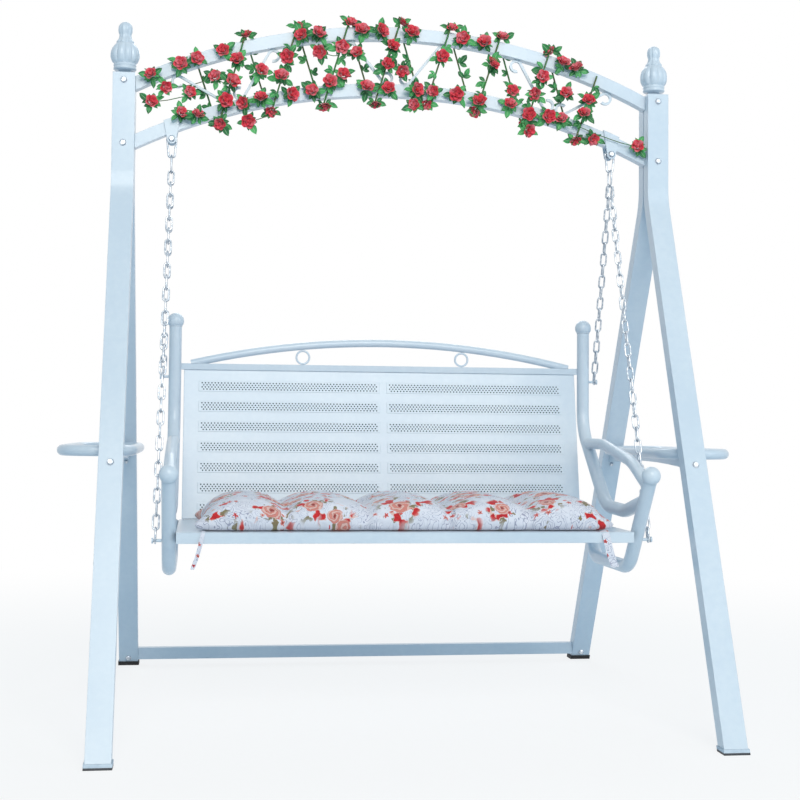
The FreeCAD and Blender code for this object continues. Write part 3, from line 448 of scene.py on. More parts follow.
@dataclass(frozen=True)
class PaintedHoleShade:
    """Painted shade inside the pockets of the perforated sheet, standing for the shadow and dark
    space seen through real holes.
    """

    name: str = "painted_hole_shade"
    # Both colours are painted shade, mixed by noise.
    base: Colour = tint(52, 78, 92)
    deep: Colour = tint(34, 54, 68)
    grain: Grain = (40.0, 2.0)
    roughness: float = 0.85

    def material(self) -> bpy.types.Material:
        """Makes the shade's nodes.

        Returns:
            The shade's material.
        """
        sh = Shader(self.name)
        tone = sh.mix(sh.noise(sh.place(), *self.grain), self.deep, self.base)
        sh.set(Base_Color=tone, Roughness=self.roughness)
        return sh.material


@dataclass(frozen=True)
class FlowerCloth:
    """Printed cotton: painted roses, red flowers, leaves and grey pen lines on a pale ground."""

    name: str = "flower_cloth"
    ground: Colour = tint(246, 242, 247)
    ground_shade: Colour = tint(231, 230, 239)
    pen: Colour = tint(136, 136, 164)
    red: Colour = tint(222, 42, 44)
    deep_red: Colour = tint(188, 30, 40)
    salmon: Colour = tint(228, 142, 128)
    peach: Colour = tint(240, 196, 184)
    heart: Colour = tint(158, 62, 58)
    olive: Colour = tint(146, 146, 98)
    brown: Colour = tint(138, 104, 84)
    stir_grain: Grain = (60.0, 3.0)
    stir_reach: float = 0.016
    tone: Grain = (24.0, 3.0)
    drawn: Grain = (15.0, 2.0)
    drawn_ramp: Ramp = (0.34, 0.48)
    pen_grain: Grain = (25.0, 2.0)
    pen_count: float = 15.0
    pen_width: float = 0.15
    pen_blur: float = 3
    pen_strength: float = 0.72
    small_cell: float = 0.047
    small_stir: float = 0.95
    small_radius: float = 0.0085
    small_petals: float = 5.0
    small_turn: float = 6.0
    small_wave: float = 0.26
    small_edge: Ramp = (0.8, 1.05)
    small_heart: Ramp = (0.0012, 0.0024)
    small_limit: float = 0.48
    cluster_cell: float = 0.104
    cluster_stir: float = 0.8
    cluster_zone: Ramp = (1.7, 2.6)
    leaf: Grain = (44.0, 2.0)
    leaf_ramp: Ramp = (0.58, 0.61)
    leaf_tone: Grain = (150.0, 2.0)
    blot: Grain = (31.0, 1.5)
    peach_ramp: Ramp = (0.562, 0.577)
    red_ramp: Ramp = (0.588, 0.604)
    red_tone: Grain = (130.0, 3.0)
    red_tone_ramp: Ramp = (0.4, 0.66)
    rose_radius: float = 0.023
    rose_least: float = 0.8
    rose_more: float = 0.4
    rose_edge: Ramp = (0.94, 1.04)
    rose_eye: Ramp = (0.16, 0.34)
    rose_rings: float = 13.0
    rose_arms: float = 2.0
    swirl: Grain = (70.0, 3.0)
    swirl_reach: float = 7.0
    petal_ramp: Ramp = (-0.3, 0.5)
    petal_line: Ramp = (0.1, 0.3)
    petal_line_strength: float = 0.6
    ghost_ramp: Ramp = (0.66, 0.67)
    thread: float = 0.0011
    weave_height: float = 0.2
    fold: Grain = (13.0, 3.0)
    fold_ramp: Ramp = (0.0, 0.07)
    fold_height: float = 1.6
    crumple: Grain = (42.0, 4.0)
    relief: Relief = (0.45, 0.0026)
    roughness: float = 0.82
    sheen: float = 0.25
    sheen_roughness: float = 0.4

    def on_layer(self, sh: Shader, spot: Socket, layer: PrintLayer, grain: Grain) -> Socket:
        """Gives noise on a layer of its own.

        Args:
            sh: the material in the making.
            spot: the cloth's own coordinates in metres.
            layer: the layer.
            grain: the noise's grain.

        Returns:
            The noise's socket.
        """
        return sh.noise(sh.vector("ADD", spot, (0.0, 0.0, layer.value)), *grain)

    def stirred(self, sh: Shader, spot: Socket) -> Socket:
        """Moves the cloth's coordinates about by noise, so that outlines look painted."""
        cloud = sh.noise(spot, *self.stir_grain, colour=True)
        return sh.vector("MULTIPLY_ADD", cloud, (self.stir_reach, self.stir_reach, 0.0), spot)

    def polar(self, sh: Shader, spot: Socket, cell: float,
              stir: float) -> tuple[Socket, Socket, list[Socket]]:
        """Scatters flower centres over the cloth.

        Args:
            sh: the material in the making.
            spot: the cloth's own coordinates in metres.
            cell: the mean distance of two flowers.
            stir: how far they leave a square net, 0 to 1.

        Returns:
            The distance and the angle to the nearest centre, and three chance numbers of that
            flower.
        """
        net = sh.node("ShaderNodeTexVoronoi", voronoi_dimensions="2D")
        for key, value in (("Vector", spot), ("Scale", 1 / cell), ("Randomness", stir)):
            sh.feed(net.inputs[key], value)
        x, y, _ = sh.parts(sh.vector("SUBTRACT", spot, net.outputs["Position"]))
        reach = sh.maths("SQRT", sh.maths("ADD", sh.times(x, x), sh.times(y, y)))
        chance = sh.fed("ShaderNodeSeparateColor", [net.outputs["Color"]])
        return reach, sh.maths("ARCTAN2", y, x), list(chance.outputs[:3])

    def drawn_ground(self, sh: Shader, spot: Socket) -> Socket:
        """Shades the ground and draws fine pen lines along the heights of a noise.

        Args:
            sh: the material in the making.
            spot: the cloth's own coordinates in metres.

        Returns:
            The ground's colour.
        """
        tone = sh.mix(self.on_layer(sh, spot, PrintLayer.TONE, self.tone),
                      self.ground_shade, self.ground)
        part = sh.between(self.on_layer(sh, spot, PrintLayer.DRAWN, self.drawn), *self.drawn_ramp)
        height = self.on_layer(sh, spot, PrintLayer.PEN, self.pen_grain)
        wave = sh.maths("ABSOLUTE", sh.maths("SINE", sh.times(height, math.pi * self.pen_count)))
        lines = sh.below(wave, self.pen_width, self.pen_blur * self.pen_width)
        return sh.mix(sh.times(lines, part, self.pen_strength), tone, self.pen)

    def small_flowers(self, sh: Shader, loose: Socket, under: Socket) -> Socket:
        """Strews small five-petalled flowers over a pattern.

        Args:
            sh: the material in the making.
            loose: the stirred coordinates.
            under: the pattern below them.

        Returns:
            The pattern with the flowers.
        """
        reach, angle, chance = self.polar(sh, loose, self.small_cell, self.small_stir)
        turn = sh.maths("MULTIPLY_ADD", angle, self.small_petals,
                        sh.times(chance[0], self.small_turn))
        star = sh.maths("MULTIPLY_ADD", sh.maths("COSINE", turn),
                        self.small_wave * self.small_radius,
                        (1 - self.small_wave) * self.small_radius)
        mask = sh.below(sh.maths("DIVIDE", reach, star), *self.small_edge)
        mask = sh.times(mask, sh.maths("GREATER_THAN", chance[1], self.small_limit))
        tone = sh.mix(sh.between(reach, *self.small_heart), self.heart,
                      sh.mix(chance[2], self.red, self.salmon))
        return sh.mix(mask, under, tone)

    def sprays(self, sh: Shader, spot: Socket, loose: Socket, zone: Socket,
               under: Socket) -> Socket:
        """Paints leaves and red blots with a peach edge round each rose.

        Args:
            sh: the material in the making.
            spot: the cloth's own coordinates in metres.
            loose: the stirred coordinates.
            zone: the mask of the places near a rose.
            under: the pattern below them.

        Returns:
            The pattern with leaves and blots.
        """
        leaf = sh.between(self.on_layer(sh, loose, PrintLayer.LEAF, self.leaf), *self.leaf_ramp)
        green = sh.mix(sh.noise(spot, *self.leaf_tone), self.brown, self.olive)
        pattern = sh.mix(sh.times(leaf, zone), under, green)
        blot = self.on_layer(sh, loose, PrintLayer.BLOT, self.blot)
        pattern = sh.mix(sh.times(sh.between(blot, *self.peach_ramp), zone), pattern, self.peach)
        deep = sh.between(self.on_layer(sh, spot, PrintLayer.RED, self.red_tone),
                          *self.red_tone_ramp)
        return sh.mix(sh.times(sh.between(blot, *self.red_ramp), zone), pattern,
                      sh.mix(deep, self.red, self.deep_red))

    def petals(self, sh: Shader, spot: Socket, inside: Socket, angle: Socket,
               ghost: Socket) -> Socket:
        """Paints the whorl of a rose, or its pale outline only.

        Args:
            sh: the material in the making.
            spot: the cloth's own coordinates in metres.
            inside: the distance from the rose's middle as a share of its radius.
            angle: the angle about its middle.
            ghost: 1 where the rose is drawn in pale lines only.

        Returns:
            The rose's colour.
        """
        turn = sh.maths("ADD", sh.times(inside, self.rose_rings), sh.times(angle, self.rose_arms))
        stir = self.on_layer(sh, spot, PrintLayer.SWIRL, self.swirl)
        wave = sh.maths("SINE", sh.maths("MULTIPLY_ADD", stir, self.swirl_reach, turn))
        petal = sh.mix(sh.between(wave, *self.petal_ramp),
                       sh.mix(ghost, self.salmon, self.ground_shade),
                       sh.mix(ghost, self.peach, self.ground))
        line = sh.times(sh.below(sh.maths("ABSOLUTE", wave), *self.petal_line),
                        self.petal_line_strength)
        petal = sh.mix(line, petal, sh.mix(ghost, self.heart, self.pen))
        return sh.mix(sh.below(inside, *self.rose_eye), petal,
                      sh.mix(ghost, self.heart, self.peach))

    def surface_height(self, sh: Shader, spot: Socket) -> Socket:
        """Gives the height of the weave, of fine creases and of soft folds.

        Args:
            sh: the material in the making.
            spot: the cloth's own coordinates in metres.

        Returns:
            The height's socket.
        """
        threads = [sh.maths("SINE", sh.times(part, math.tau / self.thread))
                   for part in sh.parts(spot)[:2]]
        weave = sh.maths("MULTIPLY_ADD", sh.times(*threads), 0.5, 0.5)
        stir = self.on_layer(sh, spot, PrintLayer.FOLD, self.fold)
        fold = sh.maths("ABSOLUTE", sh.maths("SUBTRACT", stir, 0.5))
        creased = sh.maths("MULTIPLY_ADD", sh.between(fold, *self.fold_ramp), self.fold_height,
                           sh.noise(spot, *self.crumple))
        return sh.maths("MULTIPLY_ADD", weave, self.weave_height, creased)

    def material(self) -> bpy.types.Material:
        """Makes the print, the weave and the sheen.

        Returns:
            The cloth's material.
        """
        sh = Shader(self.name)
        spot = sh.place("cloth")
        loose = self.stirred(sh, spot)
        pattern = self.small_flowers(sh, loose, self.drawn_ground(sh, spot))
        reach, angle, chance = self.polar(sh, loose, self.cluster_cell, self.cluster_stir)
        size = sh.maths("MULTIPLY_ADD", chance[0], self.rose_more * self.rose_radius,
                        self.rose_least * self.rose_radius)
        inside = sh.maths("DIVIDE", reach, size)
        zone = sh.below(inside, *self.cluster_zone)
        pattern = self.sprays(sh, spot, loose, zone, pattern)
        ghost = sh.between(chance[2], *self.ghost_ramp)
        pattern = sh.mix(sh.below(inside, *self.rose_edge), pattern,
                         self.petals(sh, spot, inside, angle, ghost))
        sh.set(Base_Color=pattern, Roughness=self.roughness, Sheen_Weight=self.sheen,
               Sheen_Roughness=self.sheen_roughness)
        sh.bump(self.surface_height(sh, spot), *self.relief)
        return sh.material


@dataclass(frozen=True)
class PetalCloth:
    """Red cloth of the garland's roses, darker at the petals' feet and lighter at their rims, with
    pink near the rims that is painted highlight.
    """

    name: str = "petal_cloth"
    deep: Colour = tint(200, 18, 38)
    rim: Colour = tint(244, 66, 84)
    # The pink is a painted highlight on the petals' rims.
    highlight_pink: Colour = tint(250, 158, 168)
    rim_ramp: Ramp = (0.2, 0.95)
    patch: Grain = (40.0, 2.0)
    patch_ramp: Ramp = (0.46, 0.66)
    highlight_strength: float = 0.75
    roughness: float = 0.55
    sheen: float = 0.3
    glow_through: float = 0.06
    grain: Grain = (620.0, 3.0)
    relief: Relief = (0.25, 0.0005)

    def material(self) -> bpy.types.Material:
        """Makes the petals' nodes from the rim attribute.

        Returns:
            The petals' material.
        """
        sh = Shader(self.name)
        rim = sh.node("ShaderNodeAttribute", attribute_name="rim").outputs["Fac"]
        spot = sh.place()
        tone = sh.mix(sh.between(rim, *self.rim_ramp), self.deep, self.rim)
        # Pink patches near the rims are painted highlight.
        patch = sh.between(sh.noise(spot, *self.patch), *self.patch_ramp)
        share = sh.times(patch, sh.times(rim, self.highlight_strength))
        sh.set(Base_Color=sh.mix(share, tone, self.highlight_pink), Roughness=self.roughness,
               Sheen_Weight=self.sheen, Subsurface_Weight=self.glow_through)
        sh.bump(sh.noise(spot, *self.grain), *self.relief)
        return sh.material


@dataclass(frozen=True)
class LeafCloth:
    """Printed cloth of the garland's leaves, with a pale midrib."""

    name: str = "leaf_cloth"
    dark: Colour = tint(26, 104, 56)
    fresh: Colour = tint(86, 182, 104)
    rib: Colour = tint(158, 214, 150)
    tone: Grain = (30.0, 3.0)
    tone_ramp: Ramp = (0.35, 0.65)
    rib_ramp: Ramp = (0.02, 0.07)
    rib_strength: float = 0.7
    vein_count: float = 42.0
    vein_slant: float = 30.0
    vein_height: float = 0.3
    roughness: float = 0.5
    shine: float = 0.4
    relief: Relief = (0.4, 0.0006)

    def material(self) -> bpy.types.Material:
        """Makes the leaves' nodes from their own UV map.

        Returns:
            The leaves' material.
        """
        sh = Shader(self.name)
        across, along, _ = sh.parts(sh.place("leaf"))
        side = sh.maths("ABSOLUTE", sh.maths("SUBTRACT", across, 0.5))
        rib = sh.below(side, *self.rib_ramp)
        veins = sh.maths("SINE", sh.maths("ADD", sh.times(along, self.vein_count),
                                          sh.times(side, -self.vein_slant)))
        shade = sh.between(sh.noise(sh.place(), *self.tone), *self.tone_ramp)
        tone = sh.mix(shade, self.dark, self.fresh)
        sh.set(Base_Color=sh.mix(sh.times(rib, self.rib_strength), tone, self.rib),
               Roughness=self.roughness, Specular_IOR_Level=self.shine)
        sh.bump(sh.maths("ADD", sh.times(veins, self.vein_height), rib), *self.relief)
        return sh.material


@dataclass(frozen=True)
class VineStem:
    """Green wrapped stem of the garland."""

    name: str = "vine_stem"
    green: Colour = tint(52, 118, 54)
    brown: Colour = tint(84, 96, 50)
    tone: Grain = (46.0, 4.0)
    tone_ramp: Ramp = (0.42, 0.62)
    roughness: float = 0.6
    wrap: Grain = (380.0, 3.0)
    relief: Relief = (0.5, 0.0008)

    def material(self) -> bpy.types.Material:
        """Makes the stem's nodes.

        Returns:
            The stem's material.
        """
        sh = Shader(self.name)
        spot = sh.place()
        tone = sh.mix(sh.between(sh.noise(spot, *self.tone), *self.tone_ramp),
                      self.green, self.brown)
        sh.set(Base_Color=tone, Roughness=self.roughness)
        sh.bump(sh.noise(spot, *self.wrap), *self.relief)
        return sh.material


def linked(name: str, data: bpy.types.ID) -> bpy.types.Object:
    """Puts a new object into the scene.

    Args:
        name: its name.
        data: its mesh, curve, lamp or camera.

    Returns:
        The new object.
    """
    obj = bpy.data.objects.new(name, data)
    bpy.context.scene.collection.objects.link(obj)
    return obj


def mesh_of(bm: bmesh.types.BMesh, name: str) -> bpy.types.Mesh:
    """Turns a bmesh into a mesh.

    Args:
        bm: the bmesh, which is freed.
        name: the mesh's name.

    Returns:
        The new mesh.
    """
    mesh = bpy.data.meshes.new(name)
    bm.to_mesh(mesh)
    bm.free()
    return mesh


def piece(name: str, bm: bmesh.types.BMesh, finishes: Sequence[bpy.types.Material], body: Body,
          smooth: bool = True) -> bpy.types.Object:
    """Turns a bmesh into a piece that rides on a body.

    Args:
        name: the piece's name.
        bm: its mesh, which is freed.
        finishes: its materials in slot order.
        body: the body that carries it.
        smooth: whether its faces are shaded smooth.

    Returns:
        The new object.
    """
    for face in bm.faces:
        face.smooth = smooth
    mesh = mesh_of(bm, name)
    for finish in finishes:
        mesh.materials.append(finish)
    obj = linked(name, mesh)
    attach(obj, body.value)
    LOG.info("%s: %d faces", name, len(mesh.polygons))
    return obj


def shown_angle(obj: bpy.types.Object, degrees: float) -> None:
    """Keeps edges sharper than an angle sharp in shading."""
    obj.data.set_sharp_from_angle(angle=math.radians(degrees))


def move(bm: bmesh.types.BMesh, matrix: Matrix, verts: Iterable[bmesh.types.BMVert]) -> None:
    """Moves some vertices by a matrix."""
    bmesh.ops.transform(bm, matrix=matrix, verts=list(verts))


def add_copy(bm: bmesh.types.BMesh, mesh: bpy.types.Mesh, matrix: Matrix) -> None:
    """Adds a placed copy of a small mesh.

    Args:
        bm: the bmesh that it joins.
        mesh: the small mesh.
        matrix: where the copy goes.
    """
    first = len(bm.verts)
    bm.from_mesh(mesh)
    bm.verts.ensure_lookup_table()
    move(bm, matrix, bm.verts[first:])


def grown(bm: bmesh.types.BMesh, edges: Sequence[bmesh.types.BMEdge]
          ) -> tuple[list[bmesh.types.BMVert], list[bmesh.types.BMEdge]]:
    """Extrudes a line of edges, which is left where it was.

    Args:
        bm: the bmesh.
        edges: the line.

    Returns:
        The fresh line's vertices and edges.
    """
    made = bmesh.ops.extrude_edge_only(bm, edges=edges)["geom"]
    verts = [item for item in made if isinstance(item, bmesh.types.BMVert)]
    fresh = set(verts)
    line = [item for item in made if isinstance(item, bmesh.types.BMEdge)
            and all(vert in fresh for vert in item.verts)]
    return verts, line


def close_ends(bm: bmesh.types.BMesh, *loops: Sequence[bmesh.types.BMEdge]) -> None:
    """Closes open loops with a face each."""
    for loop in loops:
        bmesh.ops.contextual_create(bm, geom=loop)


def smooth_path(name: str, points: Sequence[Vector], resolution: int) -> list[Vector]:
    """Draws a smooth line near a row of points.

    Args:
        name: the line's name.
        points: the points that pull it, of which the first and last lie on it.
        resolution: how many points it gets for each of them.

    Returns:
        The line's points.
    """
    data = bpy.data.curves.new(name, "CURVE")
    data.dimensions = "3D"
    spline = data.splines.new("NURBS")
    spline.points.add(len(points) - 1)
    for target, point in zip(spline.points, points):
        target.co = (*point, 1.0)
    spline.order_u = 3
    spline.use_endpoint_u = True
    data.resolution_u = resolution
    line = linked(name, data)
    path = [vert.co.copy() for vert in bpy.data.meshes.new_from_object(line).vertices]
    bpy.data.objects.remove(line)
    return path


def frames_along(path: Sequence[Vector], closed: bool) -> list[Matrix]:
    """Frames that follow a path without twisting.

    Args:
        path: its points.
        closed: whether its end meets its start.

    Returns:
        One matrix for each point, with Z along the path.
    """
    count = len(path)
    ahead = []
    for k in range(count):
        before = path[k - 1] if closed or k > 0 else path[k]
        after = path[(k + 1) % count] if closed or k < count - 1 else path[k]
        ahead.append((after - before).normalized())
    side = ahead[0].orthogonal().normalized()
    found = []
    for k in range(count):
        if k > 0:
            side = ahead[k - 1].rotation_difference(ahead[k]) @ side
        side = (side - ahead[k] * side.dot(ahead[k])).normalized()
        turn = Matrix((side, ahead[k].cross(side), ahead[k])).transposed().to_4x4()
        found.append(Matrix.Translation(path[k]) @ turn)
    return found


def add_bar(bm: bmesh.types.BMesh, path: Sequence[Vector], radius: float, sides: int,
            closed: bool = False) -> None:
    """Adds a round bar by drawing a circle along a path.

    Args:
        bm: the mesh that it joins.
        path: the points of its middle line.
        radius: its radius.
        sides: the circle's corners.
        closed: whether it is a loop.
    """
    places = frames_along(path, closed)
    ring = bmesh.ops.create_circle(bm, segments=sides, radius=radius, matrix=places[0])["verts"]
    first = edges = list(dict.fromkeys(edge for vert in ring for edge in vert.link_edges))
    for before, after in zip(places, places[1:]):
        verts, edges = grown(bm, edges)
        move(bm, after @ before.inverted(), verts)
    if closed:
        bmesh.ops.bridge_loops(bm, edges=first + edges)
    else:
        close_ends(bm, first, edges)


def turned(name: str, profile: Sequence[Pair], steps: int) -> bpy.types.Mesh:
    """Turns a shape from a profile of radii and heights.

    Args:
        name: the pattern's name.
        profile: radius and height of each point from the foot up.
        steps: how many steps make a turn.

    Returns:
        The turned mesh on the Z axis.
    """
    bm = bmesh.new()
    verts = [bm.verts.new((radius, 0.0, height)) for radius, height in profile]
    edges = [bm.edges.new(pair) for pair in zip(verts, verts[1:])]
    bmesh.ops.spin(bm, geom=verts + edges, cent=(0, 0, 0), axis=(0, 0, 1), angle=math.tau,
                   steps=steps, use_merge=True)
    bmesh.ops.remove_doubles(bm, verts=bm.verts, dist=TURNED_MERGE)
    bmesh.ops.recalc_face_normals(bm, faces=bm.faces)
    return mesh_of(bm, name)


def islands(node: str) -> list[tuple[Vector, Vector]]:
    """Finds the separate solids of a CAD node.

    Args:
        node: the node's name.

    Returns:
        The lowest and the highest corner of each solid.
    """
    bm = bmesh.new()
    bm.from_mesh(frame["nodes"][node].data)
    bmesh.ops.remove_doubles(bm, verts=bm.verts, dist=SOLID_MERGE)
    seen: set[bmesh.types.BMVert] = set()
    found = []
    for start in bm.verts:
        if start in seen:
            continue
        group, queue = [], [start]
        seen.add(start)
        while queue:
            vert = queue.pop()
            group.append(vert.co.copy())
            for edge in vert.link_edges:
                other = edge.other_vert(vert)
                if other not in seen:
                    seen.add(other)
                    queue.append(other)
        low = Vector(min(co[k] for co in group) for k in range(3))
        high = Vector(max(co[k] for co in group) for k in range(3))
        found.append((low, high))
    bm.free()
    return sorted(found, key=lambda pair: (round(pair[0].x, 5), round(pair[0].z, 5)))


@dataclass
class SteelFrame:
    """The painted frame: finials are turned and fluted here, the rest is the CAD's own."""

    inset: float = 0.039
    steps: int = 80
    flutes: int = 10
    flute_depth: float = 0.13
    lobe_power: float = 0.7
    lobe_mean: float = 0.85
    bud_depth: float = 0.05
    fluted: Pair = (0.017, 0.0745)
    sharp: float = 50
    profile: tuple[Pair, ...] = (
        (0.0, 0.0), (0.029, 0.0), (0.031, 0.002), (0.031, 0.006), (0.0295, 0.0075),
        (0.0295, 0.0095), (0.031, 0.011), (0.031, 0.0145), (0.029, 0.0165), (0.030, 0.018),
        (0.034, 0.022), (0.037, 0.029), (0.0388, 0.037), (0.0388, 0.045), (0.0375, 0.053),
        (0.0345, 0.061), (0.030, 0.068), (0.025, 0.073), (0.0225, 0.0755), (0.0235, 0.0775),
        (0.0225, 0.080), (0.0195, 0.0835), (0.0172, 0.088), (0.0158, 0.094), (0.0155, 0.098),
        (0.0168, 0.102), (0.0182, 0.108), (0.0186, 0.114), (0.0176, 0.121), (0.0150, 0.1265),
        (0.0105, 0.131), (0.0055, 0.1333), (0.0, 0.134))

    def swell(self, height: float, angle: float) -> float:
        """Gives the lobes round the bulb and the leaf collar under the bud.

        Args:
            height: the height above the finial's foot.
            angle: the angle about its axis.

        Returns:
            The share of the radius that is added there.
        """
        bottom, top = self.fluted
        if bottom < height < top:
            share = (height - bottom) / (top - bottom)
            lobe = abs(math.cos(self.flutes * angle / 2)) ** self.lobe_power
            return self.flute_depth * math.sqrt(math.sin(math.pi * share)) * (lobe - self.lobe_mean)
        if top <= height < self.profile[-1][1]:
            return self.bud_depth * math.cos(self.flutes * angle)
        return 0.0

    def finials(self, paint: bpy.types.Material) -> None:
        """Turns and flutes both finials.

        Args:
            paint: their finish.
        """
        low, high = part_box("finials")
        mesh = turned("finial_pattern", self.profile, self.steps)
        for vert in mesh.vertices:
            share = 1 + self.swell(vert.co.z, math.atan2(vert.co.y, vert.co.x))
            vert.co.x *= share
            vert.co.y *= share
        both = bmesh.new()
        for side in SIDES:
            place = Matrix.Translation((side * (high.x - self.inset), APEX_Y, low.z))
            add_copy(both, mesh, place)
        made = piece("urn_finials", both, [paint], Body.FRAME)
        shown_angle(made, self.sharp)
        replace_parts(made, "finials")

    def dress(self, finishes: dict[str, bpy.types.Material]) -> None:
        """Gives each CAD node of the record its finish.

        Args:
            finishes: the finish of each material slot, and that of the front feet.
        """
        for row in frame["record"]["subparts"]:
            node = frame["nodes"][row["node"]]
            node.data.materials.clear()
            front_foot = row["node"].startswith("foot_front")
            slot = "front_foot" if front_foot else row["material_slot"]
            node.data.materials.append(finishes.get(slot, finishes["paint"]))


@dataclass
class ChainSet:
    """The two large links and four strands of welded chain."""

    hanger_x: float = 0.620
    axis_z: float = 1.512076
    stud_x: float = 0.640
    front_stud: Pair = (-0.366, 0.487)
    rear_stud: Pair = (0.167, 0.917)
    wire: float = 0.005
    bow: float = 0.0075
    gap: float = 0.0003
    pitch: float = 0.035
    top_bow: float = 0.017
    top_run: float = 0.016
    hook_wire: float = 0.006
    stud_wide: float = 0.008
    bow_steps: int = 7
    sides: int = 9

    def link(self, bow: float, run: float, wire: float) -> bpy.types.Mesh:
        """Bends a long link in the XZ plane, its upper bow at the origin and the rest along -Z.

        Args:
            bow: the bow's radius at the middle of the wire.
            run: the straight length.
            wire: the wire's diameter.

        Returns:
            The link's mesh.
        """
        path = []
        for centre, start in ((0.0, 0.0), (-run, math.pi)):
            for k in range(self.bow_steps + 1):
                angle = start + math.pi * k / self.bow_steps
                path.append(Vector((bow * math.cos(angle), 0.0, centre + bow * math.sin(angle))))
        bm = bmesh.new()
        add_bar(bm, path, wire / 2, self.sides, closed=True)
        bmesh.ops.recalc_face_normals(bm, faces=bm.faces)
        return mesh_of(bm, "link_pattern")

    def large_links(self, steel: bpy.types.Material) -> Vector:
        """Hangs the large links in the hangers.

        Args:
            steel: their finish.

        Returns:
            The middle of the right one's lower bow, where the strands fork.
        """
        top_z = self.axis_z - (self.top_bow - self.wire / 2 - self.hook_wire / 2 - self.gap)
        mesh = self.link(self.top_bow, self.top_run, self.wire)
        quarter = Matrix.Rotation(math.pi / 2, 4, "Z")
        bm = bmesh.new()
        for side in SIDES:
            place = Matrix.Translation((side * self.hanger_x, APEX_Y, top_z))
            add_copy(bm, mesh, place @ quarter)
        made = piece("large_links", bm, [steel], Body.SEAT)
        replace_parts(made, "chain_top_links")
        return Vector((self.hanger_x, APEX_Y, top_z - self.top_run))

    def strands(self, steel: bpy.types.Material) -> None:
        """Hangs the links of each strand in one another from the large link to its stud.

        Args:
            steel: their finish.
        """
        fork = self.large_links(steel)
        first = self.top_bow - self.gap + self.bow - self.wire
        last = self.bow - self.wire / 2 - self.stud_wide / 2 - self.gap
        nest = 2 * self.bow - self.wire - self.gap
        for word, spot in (("front", self.front_stud), ("rear", self.rear_stud)):
            stud = Vector((self.stud_x, SEAT_Y + spot[0], spot[1]))
            along = (stud - fork).normalized()
            usable = (stud - fork).length - first - last + nest
            count = 2 * round(usable / self.pitch / 2)
            run = usable / count - nest
            mesh = self.link(self.bow, run, self.wire)
            sideways = (Vector((1, 0, 0)) - along * along.x).normalized()
            flat = along.cross(sideways)
            for side, hand in HANDS:
                mirror = Matrix.Scale(side, 4, (1, 0, 0))
                bm = bmesh.new()
                for k in range(count):
                    across = sideways if k % 2 == 0 else flat
                    axes = Matrix((across, (-along).cross(across), -along))
                    centre = fork + along * (first + k * (run + nest))
                    place = Matrix.Translation(centre) @ axes.transposed().to_4x4()
                    add_copy(bm, mesh, mirror @ place)
                bmesh.ops.recalc_face_normals(bm, faces=bm.faces)
                made = piece(f"strand_{word}_{hand}", bm, [steel], Body.SEAT)
                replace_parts(made, f"chain_{word}_{hand}")


